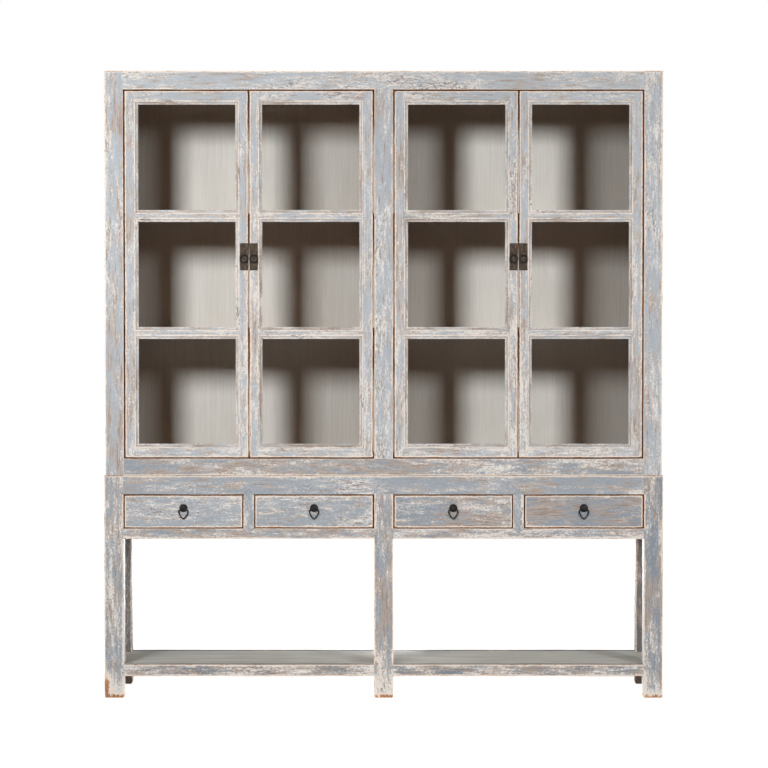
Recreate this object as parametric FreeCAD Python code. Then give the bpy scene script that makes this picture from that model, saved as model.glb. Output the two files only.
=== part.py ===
import FreeCAD, Part
import math
import os

# A glazed cabinet that stands on a drawer stand. Millimetres, +Z up, the front faces -Y.

# Stand
stand_width = 1800.0
stand_depth = 410.0
stand_height = 718.0
leg_width = 63.0
leg_depth = 62.0
foot_round = 6.0
stand_rail_thickness = 30.0
top_rail_height = 60.5
drawer_opening_height = 109.5
lower_rail_height = 34.0
drawer_stile_width = 35.0
stile_tip_depth = 10.0
top_board_thickness = 15.0
batten_width = 30.0
runner_height = 20.0
runner_reach = 22.0
runner_shoulder = 4.0
runner_stub_wall = 2.0
guide_height = 24.0
shelf_top_height = 108.0
shelf_rail_height = 38.0
shelf_rail_thickness = 40.0
shelf_board_thickness = 18.0

# Upper cabinet
cabinet_height = 1299.0
ledge = 4.0
post_width = 61.0
post_depth = 45.0
head_rail_height = 60.0
sill_rail_height = 55.0
cross_rail_thickness = 30.0
board_thickness = 12.0
floor_board_thickness = 15.0
partition_thickness = 15.0
inner_shelf_thickness = 18.0
inner_shelf_setback = 8.0
cleat_size = 18.0

# Joinery shared by stand and cabinet
tenon_length = 28.0
tenon_thickness = 12.0
tenon_shoulder = 6.0
stub_length = 10.0
panel_thickness = 12.0
panel_setback = 8.0
groove_depth = 8.0
board_lap = 8.0
dowel_radius = 6.0
dowel_length = 30.0
dowel_clearance = 0.1
dowel_spacing = 840.0

# Doors
door_gap = 3.5
door_thickness = 26.0
door_arris_radius = 3.0
hinge_stile_width = 30.0
lock_stile_width = 27.0
door_rail_width = 30.0
bar_width = 10.0
bar_tenon_height = 6.0
door_tenon_length = 17.0
door_tenon_thickness = 8.0
pintle_radius = 5.0
pintle_clearance = 0.06
pintle_from_edge = 14.0
pintle_from_front = 9.0
pintle_seat_depth = 6.0
pintle_end_gap = 0.2
pintle_head_depth = 14.0
door_lift = 8.0

# Glazing of the doors
moulding_width = 14.0
moulding_depth = 12.0
bead_width = 6.0
bead_rise = 2.0
quirk_depth = 2.0
splay_depth = 9.0
glass_thickness = 4.0
glass_clearance = 1.0
back_bead_width = 10.0

# Pull plates and rings of the doors
plate_width = 26.0
plate_height = 87.0
plate_thickness = 1.5
plate_edge_gap = 0.5
plate_centre_height = 704.0
plate_nail_inset = 7.0
nail_radius = 0.9
nail_length = 12.0
nail_head_radius = 1.8
nail_head_rise = 0.8
eye_rise = 6.0
eye_reach = 5.5
eye_wire_radius = 1.3
shank_radius = 1.8
shank_clearance = 0.1
shank_leg_length = 11.0
shank_leg_radius = 1.2
ring_wire_radius = 1.9
ring_clearance = 0.3
ring_radius = 12.2

# Drawers
drawer_gap = 2.5
drawer_front_thickness = 20.0
drawer_side_thickness = 12.0
drawer_side_inset = 6.0
drawer_side_height = 92.0
drawer_side_tongue = 8.0
drawer_bottom_thickness = 8.0
drawer_bottom_rise = 8.0
drawer_bottom_groove = 6.0
drawer_back_gap = 1.0
runner_clearance = 0.3
guide_clearance = 1.0

# Knobs and rings of the drawers
knob_radius = 13.0
knob_flange = 2.0
knob_height = 12.0
knob_rise = 11.0
knob_shank_radius = 3.0
nut_size = 12.0
nut_thickness = 5.0
bar_drop = 6.0
bar_reach = 5.2
pull_bar_half = 10.8
pull_corner_radius = 4.0
pull_drop = 30.7
pull_tip_radius = 3.2

# Planes that everything is placed from. Y is centred on the whole depth with the knobs.
front = (knob_height - stand_depth) / 2
back = front + stand_depth
stand_half = stand_width / 2
leg_inner = stand_half - leg_width
leg_half = leg_width / 2
opening_top = stand_height - top_rail_height
opening_bottom = opening_top - drawer_opening_height
lower_rail_bottom = opening_bottom - lower_rail_height
shelf_bottom = shelf_top_height - shelf_rail_height
stile_centre = (leg_inner + leg_half) / 2
stile_half = drawer_stile_width / 2
runner_stub = (stand_rail_thickness - tenon_thickness) / 2 - runner_stub_wall
dowel_inset = (ledge + stand_rail_thickness - board_lap) / 2
cabinet_front = front + ledge
cabinet_half = stand_half - ledge
cabinet_top = stand_height + cabinet_height
post_inner = cabinet_half - post_width
post_half = post_width / 2
sill_top = stand_height + sill_rail_height
head_bottom = cabinet_top - head_rail_height
door_width = (post_inner - post_half - 3 * door_gap) / 2
door_bottom = sill_top + door_gap
door_top = head_bottom - door_gap
door_back = cabinet_front + door_thickness
side_panel_inner = cabinet_half - panel_setback - panel_thickness
back_panel_inner = back - panel_setback - panel_thickness
pane_height = (door_top - door_bottom - 2 * door_rail_width - 2 * bar_width) / 3


def vec(x, y, z):
    return FreeCAD.Vector(x, y, z)


def box(x, y, z):
    """A block between two values on each axis, given in either order."""
    lo = vec(min(x), min(y), min(z))
    return Part.makeBox(abs(x[1] - x[0]), abs(y[1] - y[0]), abs(z[1] - z[0]), lo)


def mid(pair):
    return (pair[0] + pair[1]) / 2


def grown(pair, by):
    return (min(pair) - by, max(pair) + by)


def strip_of(centre, width):
    return (centre - width / 2, centre + width / 2)


def bar(x, y, z, along, length=tenon_length, thickness=tenon_thickness, shoulder=tenon_shoulder):
    """A straight timber with one tenon at each end, in the middle of its section."""
    if along == "x":
        tenon = box(grown(x, length), strip_of(mid(y), thickness), grown(z, -shoulder))
    elif along == "y":
        tenon = box(strip_of(mid(x), thickness), grown(y, length), grown(z, -shoulder))
    else:
        tenon = box(grown(x, -shoulder), strip_of(mid(y), thickness), grown(z, length))
    return box(x, y, z).fuse(tenon).removeSplitter()


def housed(host, *members):
    """The host with mortises, grooves and rebates cut where the members enter it."""
    return host.cut(list(members))


def rod(radius, start, direction, length):
    return Part.makeCylinder(radius, length, start, direction)


def prism(points, run):
    """A flat outline carried straight along run."""
    return Part.Face(Part.makePolygon(points + points[:1])).extrude(run)


def stand_parts():
    """Legs, rails, panels, boards and drawer runners of the stand."""
    front_y = (front, front + leg_depth)
    back_y = (back - leg_depth, back)
    rail_front = (front, front + stand_rail_thickness)
    rail_back = (back - stand_rail_thickness, back)
    top_z = (opening_top, stand_height)
    low_z = (lower_rail_bottom, opening_bottom)
    shelf_z = (shelf_bottom, shelf_top_height)
    between_legs_y = (front + leg_depth, back - leg_depth)
    long_x = (-leg_inner, leg_inner)

    top_front = bar(long_x, rail_front, top_z, "x")
    top_back = bar(long_x, rail_back, top_z, "x")
    low_front, low_back, shelf_front, shelf_back = [], [], [], []
    top_side, low_side, shelf_side = [], [], []
    stiles, side_panels, back_panels, shelf_boards = [], [], [], []
    shelf_rail_front = (front, front + shelf_rail_thickness)
    shelf_rail_back = (back - shelf_rail_thickness, back)
    shelf_centre = bar(strip_of(0, shelf_rail_thickness), between_legs_y, shelf_z, "y")
    panel_z = grown((opening_bottom, opening_top), groove_depth)
    for side in (-1, 1):
        half_x = (side * leg_half, side * leg_inner)
        outer = side * stand_half
        low_front.append(bar(half_x, rail_front, low_z, "x"))
        low_back.append(bar(half_x, rail_back, low_z, "x"))
        shelf_front.append(bar(half_x, shelf_rail_front, shelf_z, "x"))
        shelf_back.append(bar(half_x, shelf_rail_back, shelf_z, "x"))
        rail_x = (outer, outer - side * stand_rail_thickness)
        shelf_x = (outer, outer - side * shelf_rail_thickness)
        top_side.append(bar(rail_x, between_legs_y, top_z, "y"))
        low_side.append(bar(rail_x, between_legs_y, low_z, "y"))
        shelf_side.append(bar(shelf_x, between_legs_y, shelf_z, "y"))
        panel_x = (outer - side * panel_setback, outer - side * (panel_setback + panel_thickness))
        side_panels.append(box(panel_x, grown(between_legs_y, groove_depth), panel_z))
        panel_y = (back - panel_setback - panel_thickness, back - panel_setback)
        back_panels.append(box(grown(half_x, groove_depth), panel_y, panel_z))
        stiles.append(drawer_stile(side * stile_centre, rail_front))
        board_x = (
            side * (shelf_rail_thickness / 2 - board_lap),
            outer - side * (shelf_rail_thickness - board_lap),
        )
        board_y = (shelf_rail_front[1] - board_lap, shelf_rail_back[0] + board_lap)
        board_z = (shelf_top_height - shelf_board_thickness, shelf_top_height)
        shelf_boards.append(box(board_x, board_y, board_z))

    top_board = box(
        (-stand_half + stand_rail_thickness - board_lap, stand_half - stand_rail_thickness + board_lap),
        (rail_front[1] - board_lap, rail_back[0] + board_lap),
        (stand_height - top_board_thickness, stand_height),
    )
    inside_y = (rail_front[1], rail_back[0])
    battens = []
    for x in drawer_centres():
        batten_z = (opening_top, stand_height - top_board_thickness)
        battens.append(bar(strip_of(x, batten_width), inside_y, batten_z, "y", stub_length))
    runners, guides = [], []
    for x in runner_spans():
        runner_z = (opening_bottom - runner_height, opening_bottom)
        runners.append(bar(x["runner"], inside_y, runner_z, "y", runner_stub, tenon_thickness, runner_shoulder))
        guides.append(box(x["guide"], inside_y, (opening_bottom, opening_bottom + guide_height)))

    corner_blocks, front_legs, back_legs = [], [], []
    members = low_front + low_back + shelf_front + shelf_back + top_side + low_side + shelf_side
    members += side_panels + back_panels + [top_front, top_back, shelf_centre]
    for x in (-stand_half + leg_half, 0.0, stand_half - leg_half):
        for y, legs in ((front_y, front_legs), (back_y, back_legs)):
            corner = x != 0
            block = box(strip_of(x, leg_width), y, (0, stand_height if corner else opening_top))
            corner_blocks.append(block)
            leg = block.makeFillet(foot_round, foot_edges(block))
            if not corner:
                rail_mid = mid(rail_front if y is front_y else rail_back)
                tongue_z = (opening_top - tenon_length, opening_top + tenon_length)
                tongue_x = grown(strip_of(x, leg_width), -tenon_shoulder)
                leg = leg.fuse(box(tongue_x, strip_of(rail_mid, tenon_thickness), tongue_z))
                leg = leg.removeSplitter()
            legs.append(housed(leg, *members))
    shelf_boards = [housed(board, *corner_blocks) for board in shelf_boards]
    top_board = housed(top_board, *corner_blocks)

    enters_top = stiles + battens + [top_board] + front_legs + back_legs + back_panels + dowels(0.0)
    top_front = housed(top_front, *enters_top)
    top_back = housed(top_back, *enters_top)
    low_front = [housed(rail, *(stiles + runners)) for rail in low_front]
    low_back = [housed(rail, *(runners + back_panels)) for rail in low_back]
    top_side = [housed(rail, top_board, *side_panels) for rail in top_side]
    low_side = [housed(rail, *side_panels) for rail in low_side]
    shelf_rails = shelf_front + shelf_back + shelf_side + [shelf_centre]
    shelf_rails = [housed(rail, *shelf_boards) for rail in shelf_rails]
    return {
        "stand_front_legs": front_legs,
        "stand_back_legs": back_legs,
        "stand_top_rails": [cut_dowels(top_front), cut_dowels(top_back)],
        "stand_lower_rails": low_front + low_back,
        "stand_side_rails": top_side + low_side,
        "stand_panels": side_panels + back_panels,
        "stand_top_board": [top_board],
        "top_board_battens": battens,
        "drawer_stiles": stiles,
        "drawer_runners": runners + guides,
        "bottom_shelf_rails": shelf_rails,
        "bottom_shelf_boards": shelf_boards,
        "locating_dowels": dowels(0.0),
    }


def foot_edges(block):
    """The four edges round the underside of a leg and the four that rise from its corners at the floor."""
    return [edge for edge in block.Edges if edge.BoundBox.ZMax < 1.0]


def drawer_stile(x, y):
    """A stile between two drawers, with a pointed shoulder on the face at each end."""
    z = (opening_bottom, opening_top)
    stile = bar(strip_of(x, drawer_stile_width), y, z, "z", tenon_length, tenon_thickness, tenon_shoulder)
    for foot, point in ((opening_top, opening_top + stile_half), (opening_bottom, opening_bottom - stile_half)):
        outline = [
            vec(x - stile_half, y[0], foot),
            vec(x + stile_half, y[0], foot),
            vec(x, y[0], point),
        ]
        stile = stile.fuse(prism(outline, vec(0, stile_tip_depth, 0)))
    return stile.removeSplitter()


def drawer_openings():
    """The left and right edge of each drawer opening, from the left."""
    inner = (leg_half, stile_centre - stile_half)
    outer = (stile_centre + stile_half, leg_inner)
    return [(-outer[1], -outer[0]), (-inner[1], -inner[0]), inner, outer]


def drawer_centres():
    return [mid(opening) for opening in drawer_openings()]


def runner_spans():
    """Runner and guide widths at each side of the drawers. The stiles share one runner between two drawers."""
    reach = drawer_gap + drawer_side_inset - guide_clearance
    spans = []
    for side in (-1, 1):
        spans.append({
            "runner": (side * leg_inner, side * (leg_inner - runner_reach)),
            "guide": (side * leg_inner, side * (leg_inner - reach)),
        })
        spans.append({
            "runner": (side * leg_half, side * (leg_half + runner_reach)),
            "guide": (side * leg_half, side * (leg_half + reach)),
        })
        spans.append({
            "runner": strip_of(side * stile_centre, drawer_stile_width + 2 * runner_reach),
            "guide": strip_of(side * stile_centre, drawer_stile_width + 2 * reach),
        })
    return spans


def dowels(clearance):
    """Four dowels that keep the cabinet in place on the stand."""
    pins = []
    for x in (-dowel_spacing / 2, dowel_spacing / 2):
        for y in (front + dowel_inset, back - dowel_inset):
            start = vec(x, y, stand_height - dowel_length / 2 - clearance)
            pins.append(rod(dowel_radius + clearance, start, vec(0, 0, 1), dowel_length + 2 * clearance))
    return pins


def cut_dowels(rail):
    return rail.cut(dowels(dowel_clearance))


def cabinet_parts():
    """Posts, rails, panels, boards and shelves of the upper cabinet."""
    front_y = (cabinet_front, cabinet_front + post_depth)
    back_y = (back - post_depth, back)
    inside_y = (front_y[1], back_y[0])
    sill_z = (stand_height, sill_top)
    head_z = (head_bottom, cabinet_top)
    long_x = (-post_inner, post_inner)

    head_front = bar(long_x, front_y, head_z, "x")
    sill_front = bar(long_x, front_y, sill_z, "x")
    head_back = bar(long_x, back_y, head_z, "x")
    sill_back = bar(long_x, back_y, sill_z, "x")
    panel_z = grown((sill_top, head_bottom), groove_depth)
    centre_x = strip_of(0, cross_rail_thickness)
    under_top = (head_bottom, cabinet_top - board_thickness)
    under_floor = (stand_height, sill_top - floor_board_thickness)
    head_centre = bar(centre_x, inside_y, under_top, "y", stub_length)
    sill_centre = bar(centre_x, inside_y, under_floor, "y", stub_length)
    head_side, sill_side, side_panels, back_panels = [], [], [], []
    for side in (-1, 1):
        outer = side * cabinet_half
        rail_x = (outer, outer - side * cross_rail_thickness)
        head_side.append(bar(rail_x, inside_y, head_z, "y"))
        sill_side.append(bar(rail_x, inside_y, sill_z, "y"))
        panel_x = (outer - side * panel_setback, side * side_panel_inner)
        side_panels.append(box(panel_x, grown(inside_y, groove_depth), panel_z))
        panel_y = (back_panel_inner, back - panel_setback)
        back_x = grown((side * post_half, side * post_inner), groove_depth)
        back_panels.append(box(back_x, panel_y, panel_z))
    partition = box(
        strip_of(0, partition_thickness), grown(inside_y, groove_depth), (sill_top, head_bottom)
    )

    board_x = grown((-cabinet_half + cross_rail_thickness, cabinet_half - cross_rail_thickness), board_lap)
    board_y = grown(inside_y, board_lap)
    top_board = box(board_x, board_y, (cabinet_top - board_thickness, cabinet_top))
    floor_board = box(board_x, board_y, (sill_top - floor_board_thickness, sill_top))

    front_posts, back_posts, corner_blocks, centre_blocks = [], [], [], []
    rails = [head_front, sill_front, head_back, sill_back]
    members = rails + head_side + sill_side + side_panels + back_panels + [partition]
    for x in (-cabinet_half + post_half, 0.0, cabinet_half - post_half):
        for y, posts in ((front_y, front_posts), (back_y, back_posts)):
            post_x = strip_of(x, post_width)
            if x == 0:
                post = bar(post_x, y, (sill_top, head_bottom), "z")
                centre_blocks.append(box(post_x, y, (sill_top, head_bottom)))
                posts.append(housed(post, partition, *back_panels))
            else:
                post = box(post_x, y, (stand_height, cabinet_top))
                corner_blocks.append(post)
                posts.append(housed(post, *members))
    top_board = housed(top_board, *corner_blocks)
    floor_board = housed(floor_board, *corner_blocks)

    shelves, cleats = [], []
    for z in bar_levels():
        for side in (-1, 1):
            inner = side * partition_thickness / 2
            outer = side * side_panel_inner
            shelf_z = strip_of(z, inner_shelf_thickness)
            shelf = box((inner, outer), (door_back + inner_shelf_setback, back_panel_inner), shelf_z)
            shelves.append(housed(shelf, *(corner_blocks + centre_blocks)))
            cleat_z = (shelf_z[0] - cleat_size, shelf_z[0])
            cleats.append(box((inner, inner + side * cleat_size), inside_y, cleat_z))
            cleats.append(box((outer, outer - side * cleat_size), inside_y, cleat_z))

    sockets = pintle_sockets()
    boards = [top_board, floor_board]
    centre = [head_centre, sill_centre]
    enters_rails = boards + centre + front_posts + back_posts + back_panels + sockets
    long_rails = [cut_dowels(housed(rail, *enters_rails)) for rail in rails]
    cross = [housed(rail, *(boards + side_panels)) for rail in head_side + sill_side] + centre
    return {
        "cabinet_front_posts": front_posts,
        "cabinet_back_posts": back_posts,
        "cabinet_long_rails": long_rails,
        "cabinet_cross_rails": cross,
        "cabinet_side_panels": side_panels,
        "cabinet_back_panels": back_panels,
        "cabinet_partition": [partition],
        "cabinet_top_board": [top_board],
        "cabinet_floor_board": [floor_board],
        "inner_shelves": shelves,
        "shelf_cleats": cleats,
    }


def bar_levels():
    """Heights of the two glazing bars' middles, which the inner shelves follow."""
    first = door_bottom + door_rail_width + pane_height + bar_width / 2
    return [first, first + pane_height + bar_width]


def door_hinges():
    """Hinge edge of each door and the way it runs from there, from the left."""
    outer = post_inner - door_gap
    inner = post_half + door_gap
    return [(-outer, 1), (-inner, -1), (inner, 1), (outer, -1)]


def pintle_axis(hinge, way):
    return hinge + way * pintle_from_edge, cabinet_front + pintle_from_front


def pintle_sockets():
    """Holes for the pintles: the upper ones are deeper, so that a door lifts up and out."""
    radius = pintle_radius + pintle_clearance
    holes = []
    for hinge, way in door_hinges():
        x, y = pintle_axis(hinge, way)
        seat = pintle_seat_depth + pintle_end_gap
        holes.append(rod(radius, vec(x, y, sill_top - seat), vec(0, 0, 1), seat))
        holes.append(rod(radius, vec(x, y, head_bottom), vec(0, 0, 1), pintle_head_depth + door_lift))
    return holes


def moulding(rect, side):
    """One mitred front moulding: a raised round bead, a quirk and a splay down to the glass."""
    x0, x1, z0, z1 = rect

    def at(width, depth):
        y = cabinet_front + depth
        if side == "left":
            return vec(x0 + width, y, z0)
        if side == "right":
            return vec(x1 - width, y, z0)
        if side == "top":
            return vec(x0, y, z1 - width)
        return vec(x0, y, z0 + width)

    crown = Part.Arc(at(0, 0), at(bead_width / 2, -bead_rise), at(bead_width, 0)).toShape()
    rest = Part.makePolygon([
        at(bead_width, 0),
        at(bead_width, quirk_depth),
        at(moulding_width, splay_depth),
        at(moulding_width, moulding_depth),
        at(0, moulding_depth),
        at(0, 0),
    ])
    run = vec(0, 0, z1 - z0) if side in ("left", "right") else vec(x1 - x0, 0, 0)
    length = Part.Face(Part.Wire([crown] + rest.Edges)).extrude(run)
    m = moulding_width
    outlines = {
        "left": [(x0, z0), (x0, z1), (x0 + m, z1 - m), (x0 + m, z0 + m)],
        "right": [(x1, z0), (x1, z1), (x1 - m, z1 - m), (x1 - m, z0 + m)],
        "top": [(x0, z1), (x1, z1), (x1 - m, z1 - m), (x0 + m, z1 - m)],
        "bottom": [(x0, z0), (x1, z0), (x1 - m, z0 + m), (x0 + m, z0 + m)],
    }
    nearest = cabinet_front - 2 * bead_rise
    corner = prism([vec(x, nearest, z) for x, z in outlines[side]], vec(0, moulding_depth + 4 * bead_rise, 0))
    return length.common(corner)


def back_beads(rect):
    """Four square beads that hold one pane from behind."""
    x0, x1, z0, z1 = rect
    w = back_bead_width
    y = (cabinet_front + moulding_depth + glass_thickness, door_back)
    return [
        box((x0, x0 + w), y, (z0, z1)),
        box((x1 - w, x1), y, (z0, z1)),
        box((x0 + w, x1 - w), y, (z0, z0 + w)),
        box((x0 + w, x1 - w), y, (z1 - w, z1)),
    ]


def door_parts(number, hinge, way):
    """One glazed door: frame, glazing strips, panes, pull plate with eye and nails, and the loose ring."""
    lock = hinge + way * door_width
    y = (cabinet_front, door_back)
    z = (door_bottom, door_top)
    hinge_inner = hinge + way * hinge_stile_width
    lock_inner = lock - way * lock_stile_width
    inner = (hinge_inner, lock_inner)

    def rail(z_pair, shoulder):
        return bar(inner, y, z_pair, "x", door_tenon_length, door_tenon_thickness, shoulder)

    rails = [
        rail((door_bottom, door_bottom + door_rail_width), tenon_shoulder),
        rail((door_top - door_rail_width, door_top), tenon_shoulder),
    ]
    for level in bar_levels():
        rails.append(rail(strip_of(level, bar_width), (bar_width - bar_tenon_height) / 2))

    stile = box((hinge, hinge_inner), y, z)
    arris = [
        edge
        for edge in stile.Edges
        if edge.BoundBox.ZLength > 1 and abs(edge.BoundBox.XMin - hinge) < 0.01 and edge.BoundBox.YMax < y[1] - 1
    ]
    stile = stile.makeFillet(door_arris_radius, arris)
    axis_x, axis_y = pintle_axis(hinge, way)
    foot = door_gap + pintle_seat_depth
    peak = door_gap + pintle_head_depth
    stile = stile.fuse([
        rod(pintle_radius, vec(axis_x, axis_y, door_bottom - foot), vec(0, 0, 1), foot),
        rod(pintle_radius, vec(axis_x, axis_y, door_top), vec(0, 0, 1), peak),
    ])
    hinge_stile = housed(stile.removeSplitter(), *rails)

    eye_x = lock - way * (plate_edge_gap + plate_width / 2)
    plate_z = stand_height + plate_centre_height
    eye_z = plate_z + eye_rise
    plate_y = cabinet_front - plate_thickness
    eye_y = plate_y - eye_reach
    plate = box(strip_of(eye_x, plate_width), (plate_y, cabinet_front), strip_of(plate_z, plate_height))
    hole_start = vec(eye_x, plate_y, eye_z)
    bores = [rod(shank_radius + shank_clearance, hole_start, vec(0, 1, 0), plate_thickness + door_thickness)]
    nails = []
    for nail_z in strip_of(plate_z, plate_height - 2 * plate_nail_inset):
        start = vec(eye_x, plate_y, nail_z)
        bores.append(rod(nail_radius + shank_clearance, start, vec(0, 1, 0), nail_length + shank_clearance))
        nail = rod(nail_radius, start, vec(0, 1, 0), nail_length)
        head = rod(nail_head_radius, start - vec(0, nail_head_rise, 0), vec(0, 1, 0), nail_head_rise)
        nails.append(nail.fuse(head).removeSplitter())
    lock_stile = housed(box((lock, lock_inner), y, z), *(rails + bores))
    plate = housed(plate, *bores)
    loop_radius = ring_wire_radius + ring_clearance + eye_wire_radius
    eye = Part.makeTorus(loop_radius, eye_wire_radius, vec(eye_x, eye_y, eye_z), vec(1, 0, 0))
    shank_start = vec(eye_x, eye_y + loop_radius, eye_z)
    shank = rod(shank_radius, shank_start, vec(0, 1, 0), door_back + shank_leg_radius - shank_start.y)
    leg_start = vec(eye_x, door_back + shank_leg_radius, eye_z - shank_leg_length)
    legs = rod(shank_leg_radius, leg_start, vec(0, 0, 1), 2 * shank_leg_length)
    eye = eye.fuse([shank, legs]).removeSplitter()
    ring = Part.makeTorus(ring_radius, ring_wire_radius, vec(eye_x, eye_y, eye_z - ring_radius), vec(0, 1, 0))

    strips, panes = [], []
    pane_x = (min(inner), max(inner))
    for level in (0, 1, 2):
        z0 = door_bottom + door_rail_width + level * (pane_height + bar_width)
        rect = (pane_x[0], pane_x[1], z0, z0 + pane_height)
        strips += [moulding(rect, side) for side in ("left", "right", "top", "bottom")]
        strips += back_beads(rect)
        glass_y = (cabinet_front + moulding_depth, cabinet_front + moulding_depth + glass_thickness)
        panes.append(box(grown(pane_x, -glass_clearance), glass_y, grown(rect[2:], -glass_clearance)))
    name = "door_%d" % number
    return {
        name + "_frame": [hinge_stile, lock_stile] + rails,
        name + "_glazing_strips": strips,
        name + "_glass": panes,
        name + "_pull_plate": [plate, eye] + nails,
        name + "_ring": [ring],
    }


def knob(x, z):
    """A domed knob on a thin flange, bored crosswise for the ring, with a shank through the drawer front."""
    rise = knob_height - knob_flange
    sphere = (knob_radius ** 2 + rise ** 2) / (2 * rise)
    lift = sphere - rise / 2
    shoulder = math.sqrt(sphere ** 2 - lift ** 2)
    tip = vec(x, front - knob_height, z)
    crown = Part.Arc(
        vec(x + knob_radius, front - knob_flange, z),
        vec(x + shoulder, front - knob_flange - rise / 2, z),
        tip,
    ).toShape()
    rest = Part.makePolygon([
        tip,
        vec(x, front, z),
        vec(x + knob_radius, front, z),
        vec(x + knob_radius, front - knob_flange, z),
    ])
    dome = Part.Face(Part.Wire([crown] + rest.Edges)).revolve(vec(x, front, z), vec(0, 1, 0), 360)
    bore_start = vec(x - 2 * knob_radius, front - bar_reach, z - bar_drop)
    dome = dome.cut(rod(ring_wire_radius + ring_clearance, bore_start, vec(1, 0, 0), 4 * knob_radius))
    shank_length = drawer_front_thickness + nut_thickness
    shank = rod(knob_shank_radius, vec(x, front, z), vec(0, 1, 0), shank_length)
    inside = front + drawer_front_thickness
    nut = box(strip_of(x, nut_size), (inside, inside + nut_thickness), strip_of(z, nut_size))
    bore = rod(knob_shank_radius + shank_clearance, vec(x, front, z), vec(0, 1, 0), shank_length)
    return [dome.fuse(shank).removeSplitter(), nut.cut(bore)], bore


def pull_ring(x, z):
    """A wire ring with a straight bar on top, rounded shoulders and sides that draw in to a blunt point."""
    y = front - bar_reach
    top = z - bar_drop
    half = pull_bar_half + pull_corner_radius
    fall = pull_drop - pull_tip_radius - pull_corner_radius
    side = (half ** 2 + fall ** 2 - pull_tip_radius ** 2) / (2 * (half - pull_tip_radius))
    side_centre = half - side
    turn = math.atan2(fall, -side_centre)

    def at(u, v):
        return vec(x + u, y, top + v)

    def swing(cu, cv, radius, angle):
        return at(cu + radius * math.cos(angle), cv + radius * math.sin(angle))

    def arc(cu, cv, radius, first, last):
        points = [swing(cu, cv, radius, a) for a in (first, (first + last) / 2, last)]
        return Part.Arc(*points).toShape()

    corner = pull_corner_radius
    tip_v = -(pull_drop - pull_tip_radius)
    path = Part.Wire([
        Part.makeLine(at(-pull_bar_half, 0), at(pull_bar_half, 0)),
        arc(pull_bar_half, -corner, corner, math.pi / 2, 0),
        arc(side_centre, -corner, side, 0, -turn),
        arc(0, tip_v, pull_tip_radius, -turn, turn - math.pi),
        arc(-side_centre, -corner, side, turn - math.pi, -math.pi),
        arc(-pull_bar_half, -corner, corner, math.pi, math.pi / 2),
    ])
    section = Part.Wire(Part.makeCircle(ring_wire_radius, at(-pull_bar_half, 0), vec(1, 0, 0)))
    return path.makePipeShell([section], True, False)


def drawer_parts(number, opening):
    """One drawer: front, box, knob with its nut, and the loose ring."""
    front_x = grown(opening, -drawer_gap)
    front_y = (front, front + drawer_front_thickness)
    front_z = grown((opening_bottom, opening_top), -drawer_gap)
    box_x = grown(front_x, -drawer_side_inset)
    box_back = back - panel_setback - panel_thickness - drawer_back_gap
    low = opening_bottom + runner_clearance
    high = low + drawer_side_height
    floor = low + drawer_bottom_rise
    side_y = (front_y[1] - drawer_side_tongue, box_back)
    sides = [
        box((box_x[0], box_x[0] + drawer_side_thickness), side_y, (low, high)),
        box((box_x[1] - drawer_side_thickness, box_x[1]), side_y, (low, high)),
    ]
    inner_x = grown(box_x, -drawer_side_thickness)
    bottom = box(
        grown(inner_x, drawer_bottom_groove),
        (front_y[1] - drawer_bottom_groove, box_back),
        (floor, floor + drawer_bottom_thickness),
    )
    rear = box(
        inner_x, (box_back - drawer_side_thickness, box_back), (floor + drawer_bottom_thickness, high)
    )
    x = mid(opening)
    z = mid((opening_bottom, opening_top)) + knob_rise
    pull, bore = knob(x, z)
    face = housed(box(front_x, front_y, front_z), bottom, bore, *sides)
    sides = [housed(side, bottom) for side in sides]
    name = "drawer_%d" % number
    return {
        name + "_front": [face],
        name + "_box": sides + [rear, bottom],
        name + "_knob": pull,
        name + "_ring": [pull_ring(x, z)],
    }


def all_nodes():
    nodes = {}
    nodes.update(stand_parts())
    nodes.update(cabinet_parts())
    for number, (hinge, way) in enumerate(door_hinges(), 1):
        nodes.update(door_parts(number, hinge, way))
    for number, opening in enumerate(drawer_openings(), 1):
        nodes.update(drawer_parts(number, opening))
    return nodes


os.makedirs("parts", exist_ok=True)
for node, solids in all_nodes().items():
    shape = solids[0] if len(solids) == 1 else Part.makeCompound(solids)
    shape.exportStep("parts/%s.step" % node)
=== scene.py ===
"""A glazed display cabinet on a drawer stand, in rubbed grey paint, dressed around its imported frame.

Metres, +Z up, the front faces -Y. Every place comes from the frame's boxes and a few named widths.
"""
import math

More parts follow.
